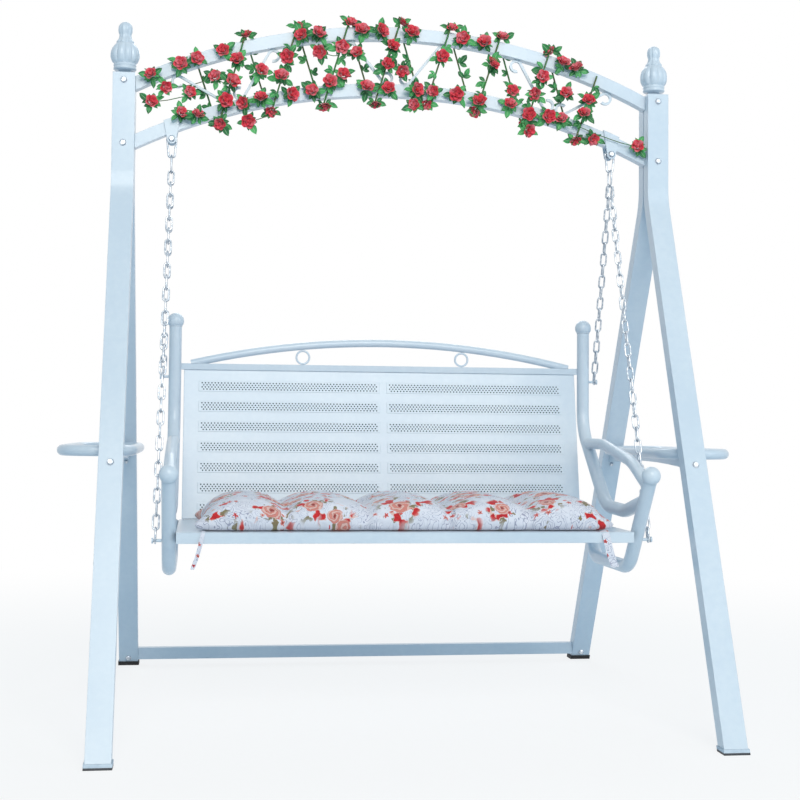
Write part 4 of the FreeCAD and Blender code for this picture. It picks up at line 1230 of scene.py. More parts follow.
@dataclass
class SeatBench:
    """The hanging bench: ball caps, rings and the perforated back."""

    side_x: float = 0.606
    tube: float = 0.018
    ball: float = 0.024
    ball_arcs: int = 22
    ball_steps: int = 32
    ball_sharp: float = 40
    collar: tuple[Pair, ...] = ((0.0, 0.0002), (0.0186, 0.0002), (0.0196, 0.0012), (0.0190, 0.0026))
    collar_top: float = 0.0032
    rear_end: Pair = (0.167, 1.062)
    front_end: Pair = (-0.487, 0.645)
    front_next: Pair = (-0.306, 0.408)
    ring_wire: float = 0.003
    ring_steps: int = 36
    ring_sides: int = 12
    panel_half: float = 0.580
    panel_foot: Pair = (0.092, 0.5123)
    panel_top: Pair = (0.172, 0.938)
    rail_level: float = 0.511
    rim: float = 0.010
    sheet: float = 0.002
    fold: float = 0.0012
    relief: float = 0.0006
    bed: float = 0.0004
    band_height: float = 0.031
    band_rows: int = 7
    hole: float = 0.0022
    hole_depth: float = 0.0014
    hole_columns: int = 55
    hole_rows: int = 4
    hole_inset_share: float = 0.2
    hole_middle_share: float = 0.3
    side_share: float = 0.037
    middle_share: float = 0.018
    end_share: float = 0.045

    def caps(self, paint: bpy.types.Material) -> None:
        """Turns four ball caps, each with a small collar on its tube.

        Args:
            paint: their finish.
        """
        stand = math.sqrt(self.ball ** 2 - self.tube ** 2)
        arc = [math.pi * k / self.ball_arcs - math.pi / 2 for k in range(self.ball_arcs + 1)]
        sphere = [(self.ball * math.cos(a), stand + self.ball * math.sin(a)) for a in arc]
        sphere = [point for point in sphere if point[1] > self.collar_top]
        mesh = turned("ball_pattern", [*self.collar, *sphere], self.ball_steps)
        lean = Vector((0, *(Vector(self.front_end) - Vector(self.front_next)))).normalized()
        bm = bmesh.new()
        for side in SIDES:
            for end, up in ((self.rear_end, Vector((0, 0, 1))), (self.front_end, lean)):
                spot = Vector((side * self.side_x, SEAT_Y + end[0], end[1]))
                turn = up.to_track_quat("Z", "Y").to_matrix().to_4x4()
                add_copy(bm, mesh, Matrix.Translation(spot) @ turn)
        made = piece("ball_tips", bm, [paint], Body.SEAT)
        shown_angle(made, self.ball_sharp)
        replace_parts(made, "ball_caps")

    def rings(self, paint: bpy.types.Material) -> None:
        """Bends the two rings under the crest.

        Args:
            paint: their finish.
        """
        angles = [math.tau * k / self.ring_steps for k in range(self.ring_steps)]
        bm = bmesh.new()
        for low, high in islands("back_rings"):
            centre = (low + high) / 2
            radius = (high.z - low.z) / 2 - self.ring_wire
            path = [centre + Vector((radius * math.cos(a), 0, radius * math.sin(a)))
                    for a in angles]
            add_bar(bm, path, self.ring_wire, self.ring_sides, closed=True)
        bmesh.ops.recalc_face_normals(bm, faces=bm.faces)
        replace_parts(piece("crest_rings", bm, [paint], Body.SEAT), "back_rings")

    def net(self, cell_x: float, cell_z: float) -> bmesh.types.BMesh:
        """Draws a band as a net of cells, joined two by two where a hole comes.

        Args:
            cell_x: a cell's width.
            cell_z: a cell's height.

        Returns:
            The net in the XZ plane. The faces that get holes have six corners.
        """
        columns, rows = 2 * self.hole_columns + 3, self.hole_rows + 2
        bm = bmesh.new()
        bmesh.ops.create_grid(bm, x_segments=columns, y_segments=rows, size=1.0)
        for vert in bm.verts:
            column = round((vert.co.x + 1) / 2 * columns)
            row = round((vert.co.y + 1) / 2 * rows)
            height = min(max((row - 0.5) * cell_z, 0.0), self.band_height)
            vert.co = Vector((column * cell_x, -self.relief, height))
        inner = []
        for edge in bm.edges:
            start, end = (vert.co for vert in edge.verts)
            middle = (start + end) / 2
            row = math.floor(middle.z / cell_z + 0.5)
            column = round(middle.x / cell_x)
            within = 1 <= row <= self.hole_rows and 2 <= column <= columns - 2
            if abs(start.x - end.x) < cell_x / 2 and within and column % 2 == row % 2:
                inner.append(edge)
        bmesh.ops.dissolve_edges(bm, edges=inner, use_verts=False)
        return bm

    def punch(self, bm: bmesh.types.BMesh, cell_x: float, cell_z: float) -> None:
        """Presses a six-sided pocket into each face with six corners.

        Args:
            bm: the band's net.
            cell_x: a cell's width.
            cell_z: a cell's height.
        """
        holes = [face for face in bm.faces if len(face.verts) == 6]
        bmesh.ops.inset_individual(bm, faces=holes, thickness=cell_z * self.hole_inset_share,
                                   depth=0)
        for face in holes:
            centre = face.calc_center_bounds()
            for vert in face.verts:
                away = vert.co - centre
                upright = abs(away.x) < cell_x * self.hole_middle_share
                angle = math.pi / 2 if upright else math.pi / 6
                vert.co.x = centre.x + math.copysign(self.hole * math.cos(angle), away.x)
                vert.co.z = centre.z + math.copysign(self.hole * math.sin(angle), away.z)
        pressed = bmesh.ops.extrude_discrete_faces(bm, faces=holes)["faces"]
        verts = list(dict.fromkeys(vert for face in pressed for vert in face.verts))
        bmesh.ops.translate(bm, vec=(0, self.hole_depth, 0), verts=verts)
        # The pockets' floors and walls take slot 1, the painted shade that stands for the holes.
        for face in pressed:
            for edge in face.edges:
                for wall in edge.link_faces:
                    wall.material_index = 1

    def band(self, width: float) -> bpy.types.Mesh:
        """Presses one raised band with staggered holes, standing in the XZ plane.

        Args:
            width: the band's length along X.

        Returns:
            The band's mesh, its lower left corner at the origin.
        """
        cell_x = width / (2 * self.hole_columns + 3)
        cell_z = self.band_height / (self.hole_rows + 1)
        bm = self.net(cell_x, cell_z)
        self.punch(bm, cell_x, cell_z)
        verts, _ = grown(bm, [edge for edge in bm.edges if edge.is_boundary])
        bmesh.ops.translate(bm, vec=(0, self.relief + self.bed, 0), verts=verts)
        bmesh.ops.recalc_face_normals(bm, faces=bm.faces)
        if sum(face.normal.y for face in bm.faces) > 0:
            bmesh.ops.reverse_faces(bm, faces=bm.faces)
        return mesh_of(bm, "band_pattern")

    def windows(self, length: float) -> list[Pair]:
        """Lists the lower left corners of the bands on the sheet.

        Args:
            length: the sheet's length along its slope.

        Returns:
            The corners in the sheet's own X and Z.
        """
        whole = 2 * self.panel_half
        pitch = whole * (1 - 2 * self.side_share + self.middle_share) / 2
        step = length * (1 - self.end_share) / self.band_rows
        left = -self.panel_half + whole * self.side_share
        foot = (step - self.band_height) / 2
        return [(left + column * pitch, row * step + foot)
                for column in range(2) for row in range(self.band_rows)]

    def folded(self, length: float) -> bmesh.types.BMesh:
        """Folds the sheet's rim backwards.

        Args:
            length: the sheet's length along its slope.

        Returns:
            The folded sheet, standing in the XZ plane.
        """
        bm = bmesh.new()
        bmesh.ops.create_cube(bm, size=1.0)
        size = Matrix.Diagonal((2 * self.panel_half, self.rim, length, 1))
        move(bm, Matrix.Translation((0, self.rim / 2, length / 2)) @ size, bm.verts)
        rear = [face for face in bm.faces if face.normal.y > FACING]
        bmesh.ops.inset_region(bm, faces=rear, thickness=self.sheet, depth=0)
        bmesh.ops.translate(bm, vec=(0, self.sheet - self.rim, 0), verts=rear[0].verts)
        outer = [edge for edge in bm.edges
                 if all(abs(abs(v.co.x) - self.panel_half) < TOUCH for v in edge.verts)
                 or all(abs(v.co.y) < TOUCH for v in edge.verts)]
        bmesh.ops.bevel(bm, geom=outer, offset=self.fold, offset_type="OFFSET", affect="EDGES",
                        segments=2, profile=0.5, material=-1)
        return bm

    def tray(self, length: float, width: float) -> bmesh.types.BMesh:
        """Opens a window in the folded sheet for each band.

        Args:
            length: the sheet's length along its slope.
            width: a band's length along X.

        Returns:
            The opened sheet, standing in the XZ plane.
        """
        bm = self.folded(length)
        corners = self.windows(length)
        right, up = Vector((1, 0, 0)), Vector((0, 0, 1))
        cuts = [(right * (x + far), right) for x in {c[0] for c in corners} for far in (0, width)]
        cuts += [(up * (z + far), up) for z in {c[1] for c in corners}
                 for far in (0, self.band_height)]
        for spot, across in cuts:
            bmesh.ops.bisect_plane(bm, geom=bm.verts[:] + bm.edges[:] + bm.faces[:],
                                   plane_co=spot, plane_no=across)
        opened = []
        for face in bm.faces:
            middle = face.calc_center_median()
            within = any(x < middle.x < x + width and z < middle.z < z + self.band_height
                         for x, z in corners)
            flat = abs(face.normal.y) > FACING and middle.y < self.sheet + 10 * TOUCH
            if within and flat:
                opened.append(face)
        bmesh.ops.delete(bm, geom=opened, context="FACES")
        return bm

    def back(self, paint: bpy.types.Material, shade: bpy.types.Material) -> None:
        """Sets the perforated bands in the back sheet, on both of its sides.

        Args:
            paint: the sheet's finish.
            shade: the painted shade inside the holes, standing for their shadow.
        """
        run = Vector((0, self.panel_top[0] - self.panel_foot[0],
                      self.panel_top[1] - self.rail_level))
        width = self.panel_half * (1 - 2 * self.side_share - self.middle_share)
        bm = self.tray(run.length, width)
        mesh = self.band(width)
        about = Matrix.Rotation(math.pi, 4, "Z")
        for x, z in self.windows(run.length):
            add_copy(bm, mesh, Matrix.Translation((x, 0, z)))
            add_copy(bm, mesh, Matrix.Translation((x + width, self.sheet, z)) @ about)
        lean = Matrix.Rotation(-math.atan2(run.y, run.z), 4, "X")
        foot = Matrix.Translation((0, SEAT_Y + self.panel_foot[0], self.panel_foot[1]))
        move(bm, foot @ lean, bm.verts)
        made = piece("perforated_back", bm, [paint, shade], Body.SEAT, smooth=False)
        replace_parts(made, "back_panel")


@dataclass
class StuffedCushion:
    """A flowered seat cushion of five stuffed puffs."""

    half_width: float = 0.530
    front: float = -0.404
    back: float = 0.062
    floor: float = 0.5103
    height: float = 0.098
    puffs: int = 5
    puff_steps: int = 8
    puff_power: float = 0.55
    end_cut: float = 0.006
    side_cut: float = 0.008
    top_cut: float = 0.012
    lift: float = 0.001
    seam_share: float = 0.64
    end_share: float = 0.40
    seam_draw: float = 0.045
    end_draw: float = 0.085
    voxel: float = 0.0074
    pressure: float = 4.0
    stiffness: float = 12
    bending: float = 0.4
    quality: int = 6
    frames: int = 20
    held_floor: float = 0.006
    held_seam: float = 0.0045
    seam_foot: float = 0.03
    cap: float = 0.016
    seed: int = 7
    gather_foot: float = 0.1
    gather_reach: float = 0.034
    gather_height: float = 0.0050
    gather_waves: Pair = (105, 60)
    crease_depth: float = 0.0040
    crease_waves: Pair = (240, 70)
    pinch: float = 0.011
    pinch_width: float = 0.010
    pinch_top: float = 1.2
    pinch_lift: float = 0.5
    pinch_fade: float = 3
    skirt_start: float = 0.8
    skirt_run: float = 0.15
    dent: float = 0.007
    dent_scale: float = 17
    dent_level: float = 0.4
    dent_mean: float = 0.4
    ear: float = 0.038
    ear_level: float = 0.16
    ear_start: Pair = (0.74, 0.55)
    sink: float = 0.0001
    brow_share: float = 0.82
    print_shift: Pair = (3.31, 2.64)
    fill: float = 0.55
    outline: tuple[Pair, ...] = (
        (0.90, 0.0), (0.97, 0.12), (0.995, 0.3), (1.0, 0.48), (0.985, 0.66), (0.93, 0.83),
        (0.80, 0.94), (0.5, 0.985), (0.0, 1.0))

    def __post_init__(self) -> None:
        """Works out the middle, the half depth and the width of a puff."""
        self.middle = SEAT_Y + (self.front + self.back) / 2
        self.deep = (self.back - self.front) / 2
        self.puff = 2 * self.half_width / self.puffs

    def section(self, number: int) -> Matrix:
        """Places and sizes one section of the cut cushion.

        Args:
            number: the section, counted from the left end.

        Returns:
            The section's matrix.
        """
        steps = self.puffs * self.puff_steps
        span = 2 * (self.half_width - self.end_cut)
        full = abs(math.sin(math.pi * self.puffs * number / steps)) ** self.puff_power
        at_end = min(number, steps - number) < self.puff_steps / 2
        low = self.end_share if at_end else self.seam_share
        draw = 1 - (self.end_draw if at_end else self.seam_draw) * (1 - full)
        x = -self.half_width + self.end_cut + span * number / steps
        place = Matrix.Translation((x, self.middle, self.floor + self.lift))
        return place @ Matrix.Diagonal((1, draw, low + (1 - low) * full, 1))

    def body_mesh(self) -> bmesh.types.BMesh:
        """Draws the cut cushion, a little smaller than it is stuffed, section by section.

        Returns:
            The cut cushion.
        """
        deep, tall = self.deep - self.side_cut, self.height - self.top_cut
        rear = [(out * deep, up * tall) for out, up in self.outline]
        ring = rear + [(-out, up) for out, up in rear[-2::-1]]
        bm = bmesh.new()
        before = Matrix.Translation((-self.half_width + self.end_cut, self.middle,
                                     self.floor + self.lift))
        verts = [bm.verts.new(before @ Vector((0, out, up))) for out, up in ring]
        first = edges = [bm.edges.new(pair) for pair in zip(verts, verts[1:] + verts[:1])]
        for number in range(self.puffs * self.puff_steps + 1):
            now = self.section(number)
            if number > 0:
                verts, edges = grown(bm, edges)
            move(bm, now @ before.inverted(), verts)
            before = now
        close_ends(bm, first, edges)
        bmesh.ops.recalc_face_normals(bm, faces=bm.faces)
        return bm

    def remeshed(self, bm: bmesh.types.BMesh) -> bpy.types.Mesh:
        """Gives the cut cushion an even net of small faces.

        Args:
            bm: the cut cushion, which is freed.

        Returns:
            The even mesh.
        """
        obj = linked("cushion_cut", mesh_of(bm, "cushion_cut"))
        even = obj.modifiers.new("even", "REMESH")
        even.mode = "VOXEL"
        even.voxel_size = self.voxel
        graph = bpy.context.evaluated_depsgraph_get()
        made = bpy.data.meshes.new_from_object(obj.evaluated_get(graph))
        bpy.data.objects.remove(obj)
        return made

    def held(self, spot: Vector) -> bool:
        """Tells whether the cloth is held at a place: along its floor and its seams.

        Args:
            spot: the place on the cut cushion.

        Returns:
            Whether it is held there.
        """
        share = (spot.x + self.half_width) / self.puff
        near = abs(share - round(share)) * self.puff < self.held_seam
        seam = near and 0 < round(share) < self.puffs and spot.z > self.floor + self.seam_foot
        return spot.z < self.floor + self.held_floor or seam

    def stuffed(self, mesh: bpy.types.Mesh) -> bpy.types.Mesh:
        """Swells the cushion as cloth under pressure, held along its seams and floor.

        Args:
            mesh: the remeshed cushion.

        Returns:
            The swollen mesh.
        """
        obj = linked("cushion_cloth", mesh)
        rest = [vert.co.copy() for vert in mesh.vertices]
        group = obj.vertex_groups.new(name="held")
        group.add([vert.index for vert in mesh.vertices if self.held(vert.co)], 1.0, "REPLACE")
        cloth = obj.modifiers.new("stuffing", "CLOTH")
        settings = cloth.settings
        settings.use_pressure = True
        settings.uniform_pressure_force = self.pressure
        settings.vertex_group_mass = "held"
        settings.tension_stiffness = self.stiffness
        settings.compression_stiffness = self.stiffness
        settings.bending_stiffness = self.bending
        settings.quality = self.quality
        settings.effector_weights.gravity = 0
        cloth.collision_settings.use_collision = False
        scene = bpy.context.scene
        for number in range(1, self.frames + 1):
            scene.frame_set(number)
        graph = bpy.context.evaluated_depsgraph_get()
        done = bpy.data.meshes.new_from_object(obj.evaluated_get(graph))
        for vert, old in zip(done.vertices, rest):
            away = vert.co - old
            if away.length > self.cap:
                vert.co = old + away.normalized() * self.cap
        scene.frame_set(1)
        bpy.data.objects.remove(obj)
        return done

    def gather(self, spot: Vector, away: float, shift: float) -> None:
        """Adds the gathers that run out from a sewn seam, and draws in its ends.

        Args:
            spot: the vertex that is moved.
            away: how far it lies from the seam.
            shift: the seam's own shift of the waves.
        """
        up = (spot.z - self.floor) / self.height
        if up > self.gather_foot:
            near = math.exp(-abs(away) / self.gather_reach)
            along, out = self.gather_waves
            wave = math.sin(spot.y * along + out * abs(away) + shift)
            spot.z += self.gather_height * wave * near * min(1, up)
            along, out = self.crease_waves
            fold = math.sin(spot.z * along + out * abs(away) + shift)
            spot.y += self.crease_depth * fold * near * max(0.0, 1 - abs(2 * up - 1))
        pinch = math.exp(-(away / self.pinch_width) ** 2)
        pinch *= min(1.0, max(0.0, self.pinch_top - up))
        out = abs(spot.y - self.middle) / self.deep - self.skirt_start
        skirt = min(1.0, max(0.0, out) / self.skirt_run)
        drawn = self.pinch * pinch * skirt
        spot.y -= math.copysign(drawn, spot.y - self.middle)
        spot.z += self.pinch_lift * drawn * max(0.0, 1 - self.pinch_fade * up)

    def creased(self, mesh: bpy.types.Mesh) -> None:
        """Adds gathers at each seam, soft dents and the drawn-out lower corners.

        Args:
            mesh: the cushion's mesh, which is changed.
        """
        rng = random.Random(self.seed)
        shifts = [rng.uniform(0, math.tau) for _ in range(self.puffs + 1)]
        end_start, side_start = self.ear_start
        for vert in mesh.vertices:
            spot = vert.co.copy()
            share = (spot.x + self.half_width) / self.puff
            nearest = round(share)
            up = (spot.z - self.floor) / self.height
            if 0 < nearest < self.puffs:
                self.gather(spot, (share - nearest) * self.puff, shifts[nearest])
            if up > self.dent_level:
                dent = self.dent_mean + noise.noise(spot * self.dent_scale)
                spot.z += self.dent * dent * (up - self.dent_level)
            end = max(0.0, abs(spot.x) / self.half_width - end_start) / (1 - end_start)
            side = abs(spot.y - self.middle) / self.deep - side_start
            low = math.exp(-((up - self.ear_level) / self.ear_level) ** 2)
            reach = self.ear * end * end * max(0.0, side) / (1 - side_start) * low
            spot.x += math.copysign(reach, spot.x)
            spot.z = max(spot.z, self.floor - self.sink)
            vert.co = spot

    def developed(self, mesh: bpy.types.Mesh) -> None:
        """Lays the print's own flat map over the cushion, in metres.

        Args:
            mesh: the cushion's mesh, which gets the map.
        """
        layer = mesh.uv_layers.new(name="cloth")
        brow = self.floor + self.brow_share * self.height
        shift_x, shift_y = self.print_shift
        for polygon in mesh.polygons:
            for loop in polygon.loop_indices:
                spot = mesh.vertices[mesh.loops[loop].vertex_index].co
                fall = max(0.0, brow - spot.z) * (1 if spot.y > self.middle else -1)
                layer.data[loop].uv = (spot.x + shift_x, spot.y + shift_y + fall)

    def build(self, cloth: bpy.types.Material) -> None:
        """Makes the cushion in place of its solid.

        Args:
            cloth: its finish.
        """
        mesh = self.remeshed(self.body_mesh())
        mesh = self.stuffed(mesh)
        self.creased(mesh)
        self.developed(mesh)
        bm = bmesh.new()
        bm.from_mesh(mesh)
        made = piece("flower_cushion", bm, [cloth], Body.SEAT)
        finer = made.modifiers.new("finer", "SUBSURF")
        finer.levels = finer.render_levels = 1
        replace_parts(made, "seat_cushion")


@dataclass
class Ribbon:
    """A cloth ribbon that hangs from under the cushion over the front rail."""

    name: str
    node: str
    width: float
    across: Place
    line: tuple[Place, ...]
    rail_face: float = SEAT_Y - 0.4155
    quarters: tuple[float, ...] = (0, 0.5, 1, 1.5, 2)
    print_shift: Pair = (2.47, 1.22)
    resolution: int = 8

    def build(self, cloth: bpy.types.Material) -> None:
        """Makes the ribbon in place of its solid.

        Args:
            cloth: its finish.
        """
        points = [Vector((x, self.rail_face + y, z)) for x, y, z in self.line]
        path = smooth_path(self.name + "_line", points, self.resolution)
        half = Vector(self.across).normalized() * (self.width / 2)
        bm = bmesh.new()
        verts = [bm.verts.new(path[0] - half + half * share) for share in self.quarters]
        edges = [bm.edges.new(pair) for pair in zip(verts, verts[1:])]
        for before, after in zip(path, path[1:]):
            verts, edges = grown(bm, edges)
            bmesh.ops.translate(bm, vec=after - before, verts=verts)
        layer = bm.loops.layers.uv.new("cloth")
        shift_x, shift_z = self.print_shift
        for face in bm.faces:
            for loop in face.loops:
                loop[layer].uv = (loop.vert.co.x + shift_x, loop.vert.co.z + shift_z)
        made = piece(self.name, bm, [cloth], Body.SEAT)
        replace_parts(made, self.node)


RIBBONS = (
    Ribbon("ribbon_left", "cushion_tie_left", 0.0105, (1, 0, 0), (
        (-0.520, 0.03, 0.5120), (-0.521, 0.004, 0.5128), (-0.523, -0.002, 0.500),
        (-0.530, -0.005, 0.468), (-0.541, -0.003, 0.432), (-0.547, -0.001, 0.419))),
    Ribbon("ribbon_right", "cushion_tie_right", 0.020, (1, 0, 0.15), (
        (0.509, 0.03, 0.5120), (0.510, 0.004, 0.5128), (0.512, -0.002, 0.498),
        (0.519, -0.006, 0.466), (0.528, -0.002, 0.436), (0.536, -0.004, 0.4195))))


@dataclass
class Bouquet:
    """The garland's roses and leaf sprays: their patterns and the copies made of them."""

    rose: float = 0.0215
    seed: int = 31
    rounds: tuple[tuple[int, float, float, float, float], ...] = (
        (3, 0.34, 0.86, 1.00, 4), (4, 0.58, 0.86, 0.95, 16), (5, 0.80, 0.78, 0.80, 34))
    round_turn: float = 0.37
    foot_out: float = 0.42
    foot_up: float = 0.10
    petal_wide: float = 0.9
    petal_cup: float = 1.25
    petal_foot: float = 0.45
    petal_belly: Pair = (0.15, 0.75)
    petal_rim: float = 0.8
    petal_dip: float = 0.12
    petal_flare: float = 0.30
    bud: float = 0.30
    bud_up: float = 0.45
    bud_tall: float = 1.3
    bud_tone: Pair = (0.35, 0.3)
    bud_whorl: Pair = (9, 900)
    leaf_length: float = 0.031
    leaf_half: float = 0.0095
    leaf_fold: float = 0.0035
    leaf_crown: float = 0.006
    leaf_droop: float = 0.004
    leaf_foot: float = 0.06
    leaf_power: float = 0.8
    leaflets: tuple[tuple[float, float, float], ...] = (
        (0.012, 0.0, 1.0), (0.007, 0.95, 0.8), (0.007, -0.95, 0.8))
    leaflet_swing: float = 0.2
    leaflet_roll: float = 0.5
    leaflet_sizes: Ramp = (0.85, 1.1)
    spray_tip: Ramp = (-0.55, 0.15)
    tilt: float = 0.45

    def __post_init__(self) -> None:
        """Makes the two patterns and starts with no flower."""
        self.rng = random.Random(self.seed)
        self.rose_mesh, self.leaf_mesh = self.rose_pattern(), self.leaf_pattern()
        self.flowers, self.foliage = bmesh.new(), bmesh.new()

    def petal(self, bm: bmesh.types.BMesh, width: float, height: float, cup: float,
              matrix: Matrix) -> None:
        """Adds one cupped petal.

        Args:
            bm: the rose that it joins.
            width: its width.
            height: its height.
            cup: how far it bends round the flower.
            matrix: where its foot sits.
        """
        rim = bm.verts.layers.float["rim"]
        start, run = self.petal_belly
        verts = bmesh.ops.create_grid(bm, x_segments=3, y_segments=3, size=1.0)["verts"]
        for vert in verts:
            across, up = vert.co.x, (vert.co.y + 1) / 2
            # The rim value lightens the petal towards its rim and places its painted highlight.
            vert[rim] = max(up, abs(across) * self.petal_rim * up)
            belly = math.sin(math.pi * min(1.0, start + run * up))
            wide = width * (self.petal_foot + (1 - self.petal_foot) * belly) / cup
            bend = across * cup
            lift = height * (up - self.petal_dip * across * across * up)
            out = self.petal_flare * height * up * up * up
            vert.co = Vector((wide * math.sin(bend), out - wide * (1 - math.cos(bend)), lift))
        move(bm, matrix, verts)

    def rose_pattern(self) -> bpy.types.Mesh:
        """Makes one rose that faces up, of a bud and three rounds of petals.

        Returns:
            The rose's mesh, with the rim attribute.
        """
        bm = bmesh.new()
        rim = bm.verts.layers.float.new("rim")
        for number, (count, radius, tall, cup, open_angle) in enumerate(self.rounds):
            foot = Matrix.Translation((0, self.rose * radius * self.foot_out,
                                       self.rose * self.foot_up))
            tip = Matrix.Rotation(-math.radians(open_angle), 4, "X")
            for k in range(count):
                turn = Matrix.Rotation(math.tau * (k + self.round_turn * number) / count, 4, "Z")
                self.petal(bm, self.rose * radius * self.petal_wide, self.rose * tall,
                           cup * self.petal_cup, turn @ foot @ tip)
        bud = bmesh.ops.create_uvsphere(bm, u_segments=8, v_segments=6,
                                        radius=self.rose * self.bud)["verts"]
        (mean, swing), (round_waves, up_waves) = self.bud_tone, self.bud_whorl
        for vert in bud:
            whorl = round_waves * math.atan2(vert.co.y, vert.co.x) + up_waves * vert.co.z
            vert[rim] = mean + swing * math.sin(whorl)
        stand = Matrix.Translation((0, 0, self.rose * self.bud_up))
        move(bm, stand @ Matrix.Diagonal((1, 1, self.bud_tall, 1)), bud)
        return mesh_of(bm, "rose_pattern")

    def leaf_pattern(self) -> bpy.types.Mesh:
        """Makes one pointed leaf along +X, folded on its midrib.

        Returns:
            The leaf's mesh, with its own UV map.
        """
        bm = bmesh.new()
        layer = bm.loops.layers.uv.new("leaf")
        bmesh.ops.create_grid(bm, x_segments=5, y_segments=2, size=1.0)
        marks = {}
        for vert in bm.verts:
            along, side = (vert.co.x + 1) / 2, vert.co.y
            marks[vert] = (0.5 + side / 2, along)
            share = min(1.0, self.leaf_foot + (1 - self.leaf_foot) * along)
            wide = self.leaf_half * math.sin(math.pi * share) ** self.leaf_power
            height = self.leaf_fold * abs(side) + self.leaf_crown * along * (1 - along)
            vert.co = Vector((self.leaf_length * along, side * wide,
                              height - self.leaf_droop * along ** 2))
        for face in bm.faces:
            for loop in face.loops:
                loop[layer].uv = marks[loop.vert]
        return mesh_of(bm, "leaf_pattern")

    def spray(self, spot: Vector, angle: float, sizes: Ramp) -> None:
        """Adds three leaflets that point away from a place in the garland's plane.

        Args:
            spot: where the spray springs from.
            angle: its direction in the XZ plane.
            sizes: its least and its largest scale.
        """
        rng = self.rng
        size = rng.uniform(*sizes)
        turn = Matrix.Rotation(-angle, 4, "Y")
        tip = Matrix.Rotation(rng.uniform(*self.spray_tip), 4, "Z")
        root = Matrix.Translation(spot) @ turn @ (tip @ Matrix.Rotation(math.pi / 2, 4, "X"))
        for start, swing, share in self.leaflets:
            swing += rng.uniform(-self.leaflet_swing, self.leaflet_swing)
            place = Matrix.Translation((start * size, 0, 0)) @ Matrix.Rotation(swing, 4, "Z")
            roll = Matrix.Rotation(rng.uniform(-self.leaflet_roll, self.leaflet_roll), 4, "X")
            scale = Matrix.Scale(size * share * rng.uniform(*self.leaflet_sizes), 4)
            add_copy(self.foliage, self.leaf_mesh, root @ place @ roll @ scale)

    def bloom(self, spot: Vector, facing: Vector, sizes: Ramp) -> None:
        """Adds one rose.

        Args:
            spot: its foot.
            facing: where it looks, before it is tilted a little.
            sizes: its least and its largest scale.
        """
        rng = self.rng
        size = rng.uniform(*sizes)
        tilt = Vector(rng.uniform(-self.tilt, self.tilt) for _ in range(3))
        look = facing.normalized() + tilt
        turn = look.to_track_quat("Z", "Y").to_matrix().to_4x4()
        spin = Matrix.Rotation(rng.uniform(0, math.tau), 4, "Z")
        place = Matrix.Translation(spot) @ turn @ spin @ Matrix.Scale(size, 4)
        add_copy(self.flowers, self.rose_mesh, place)


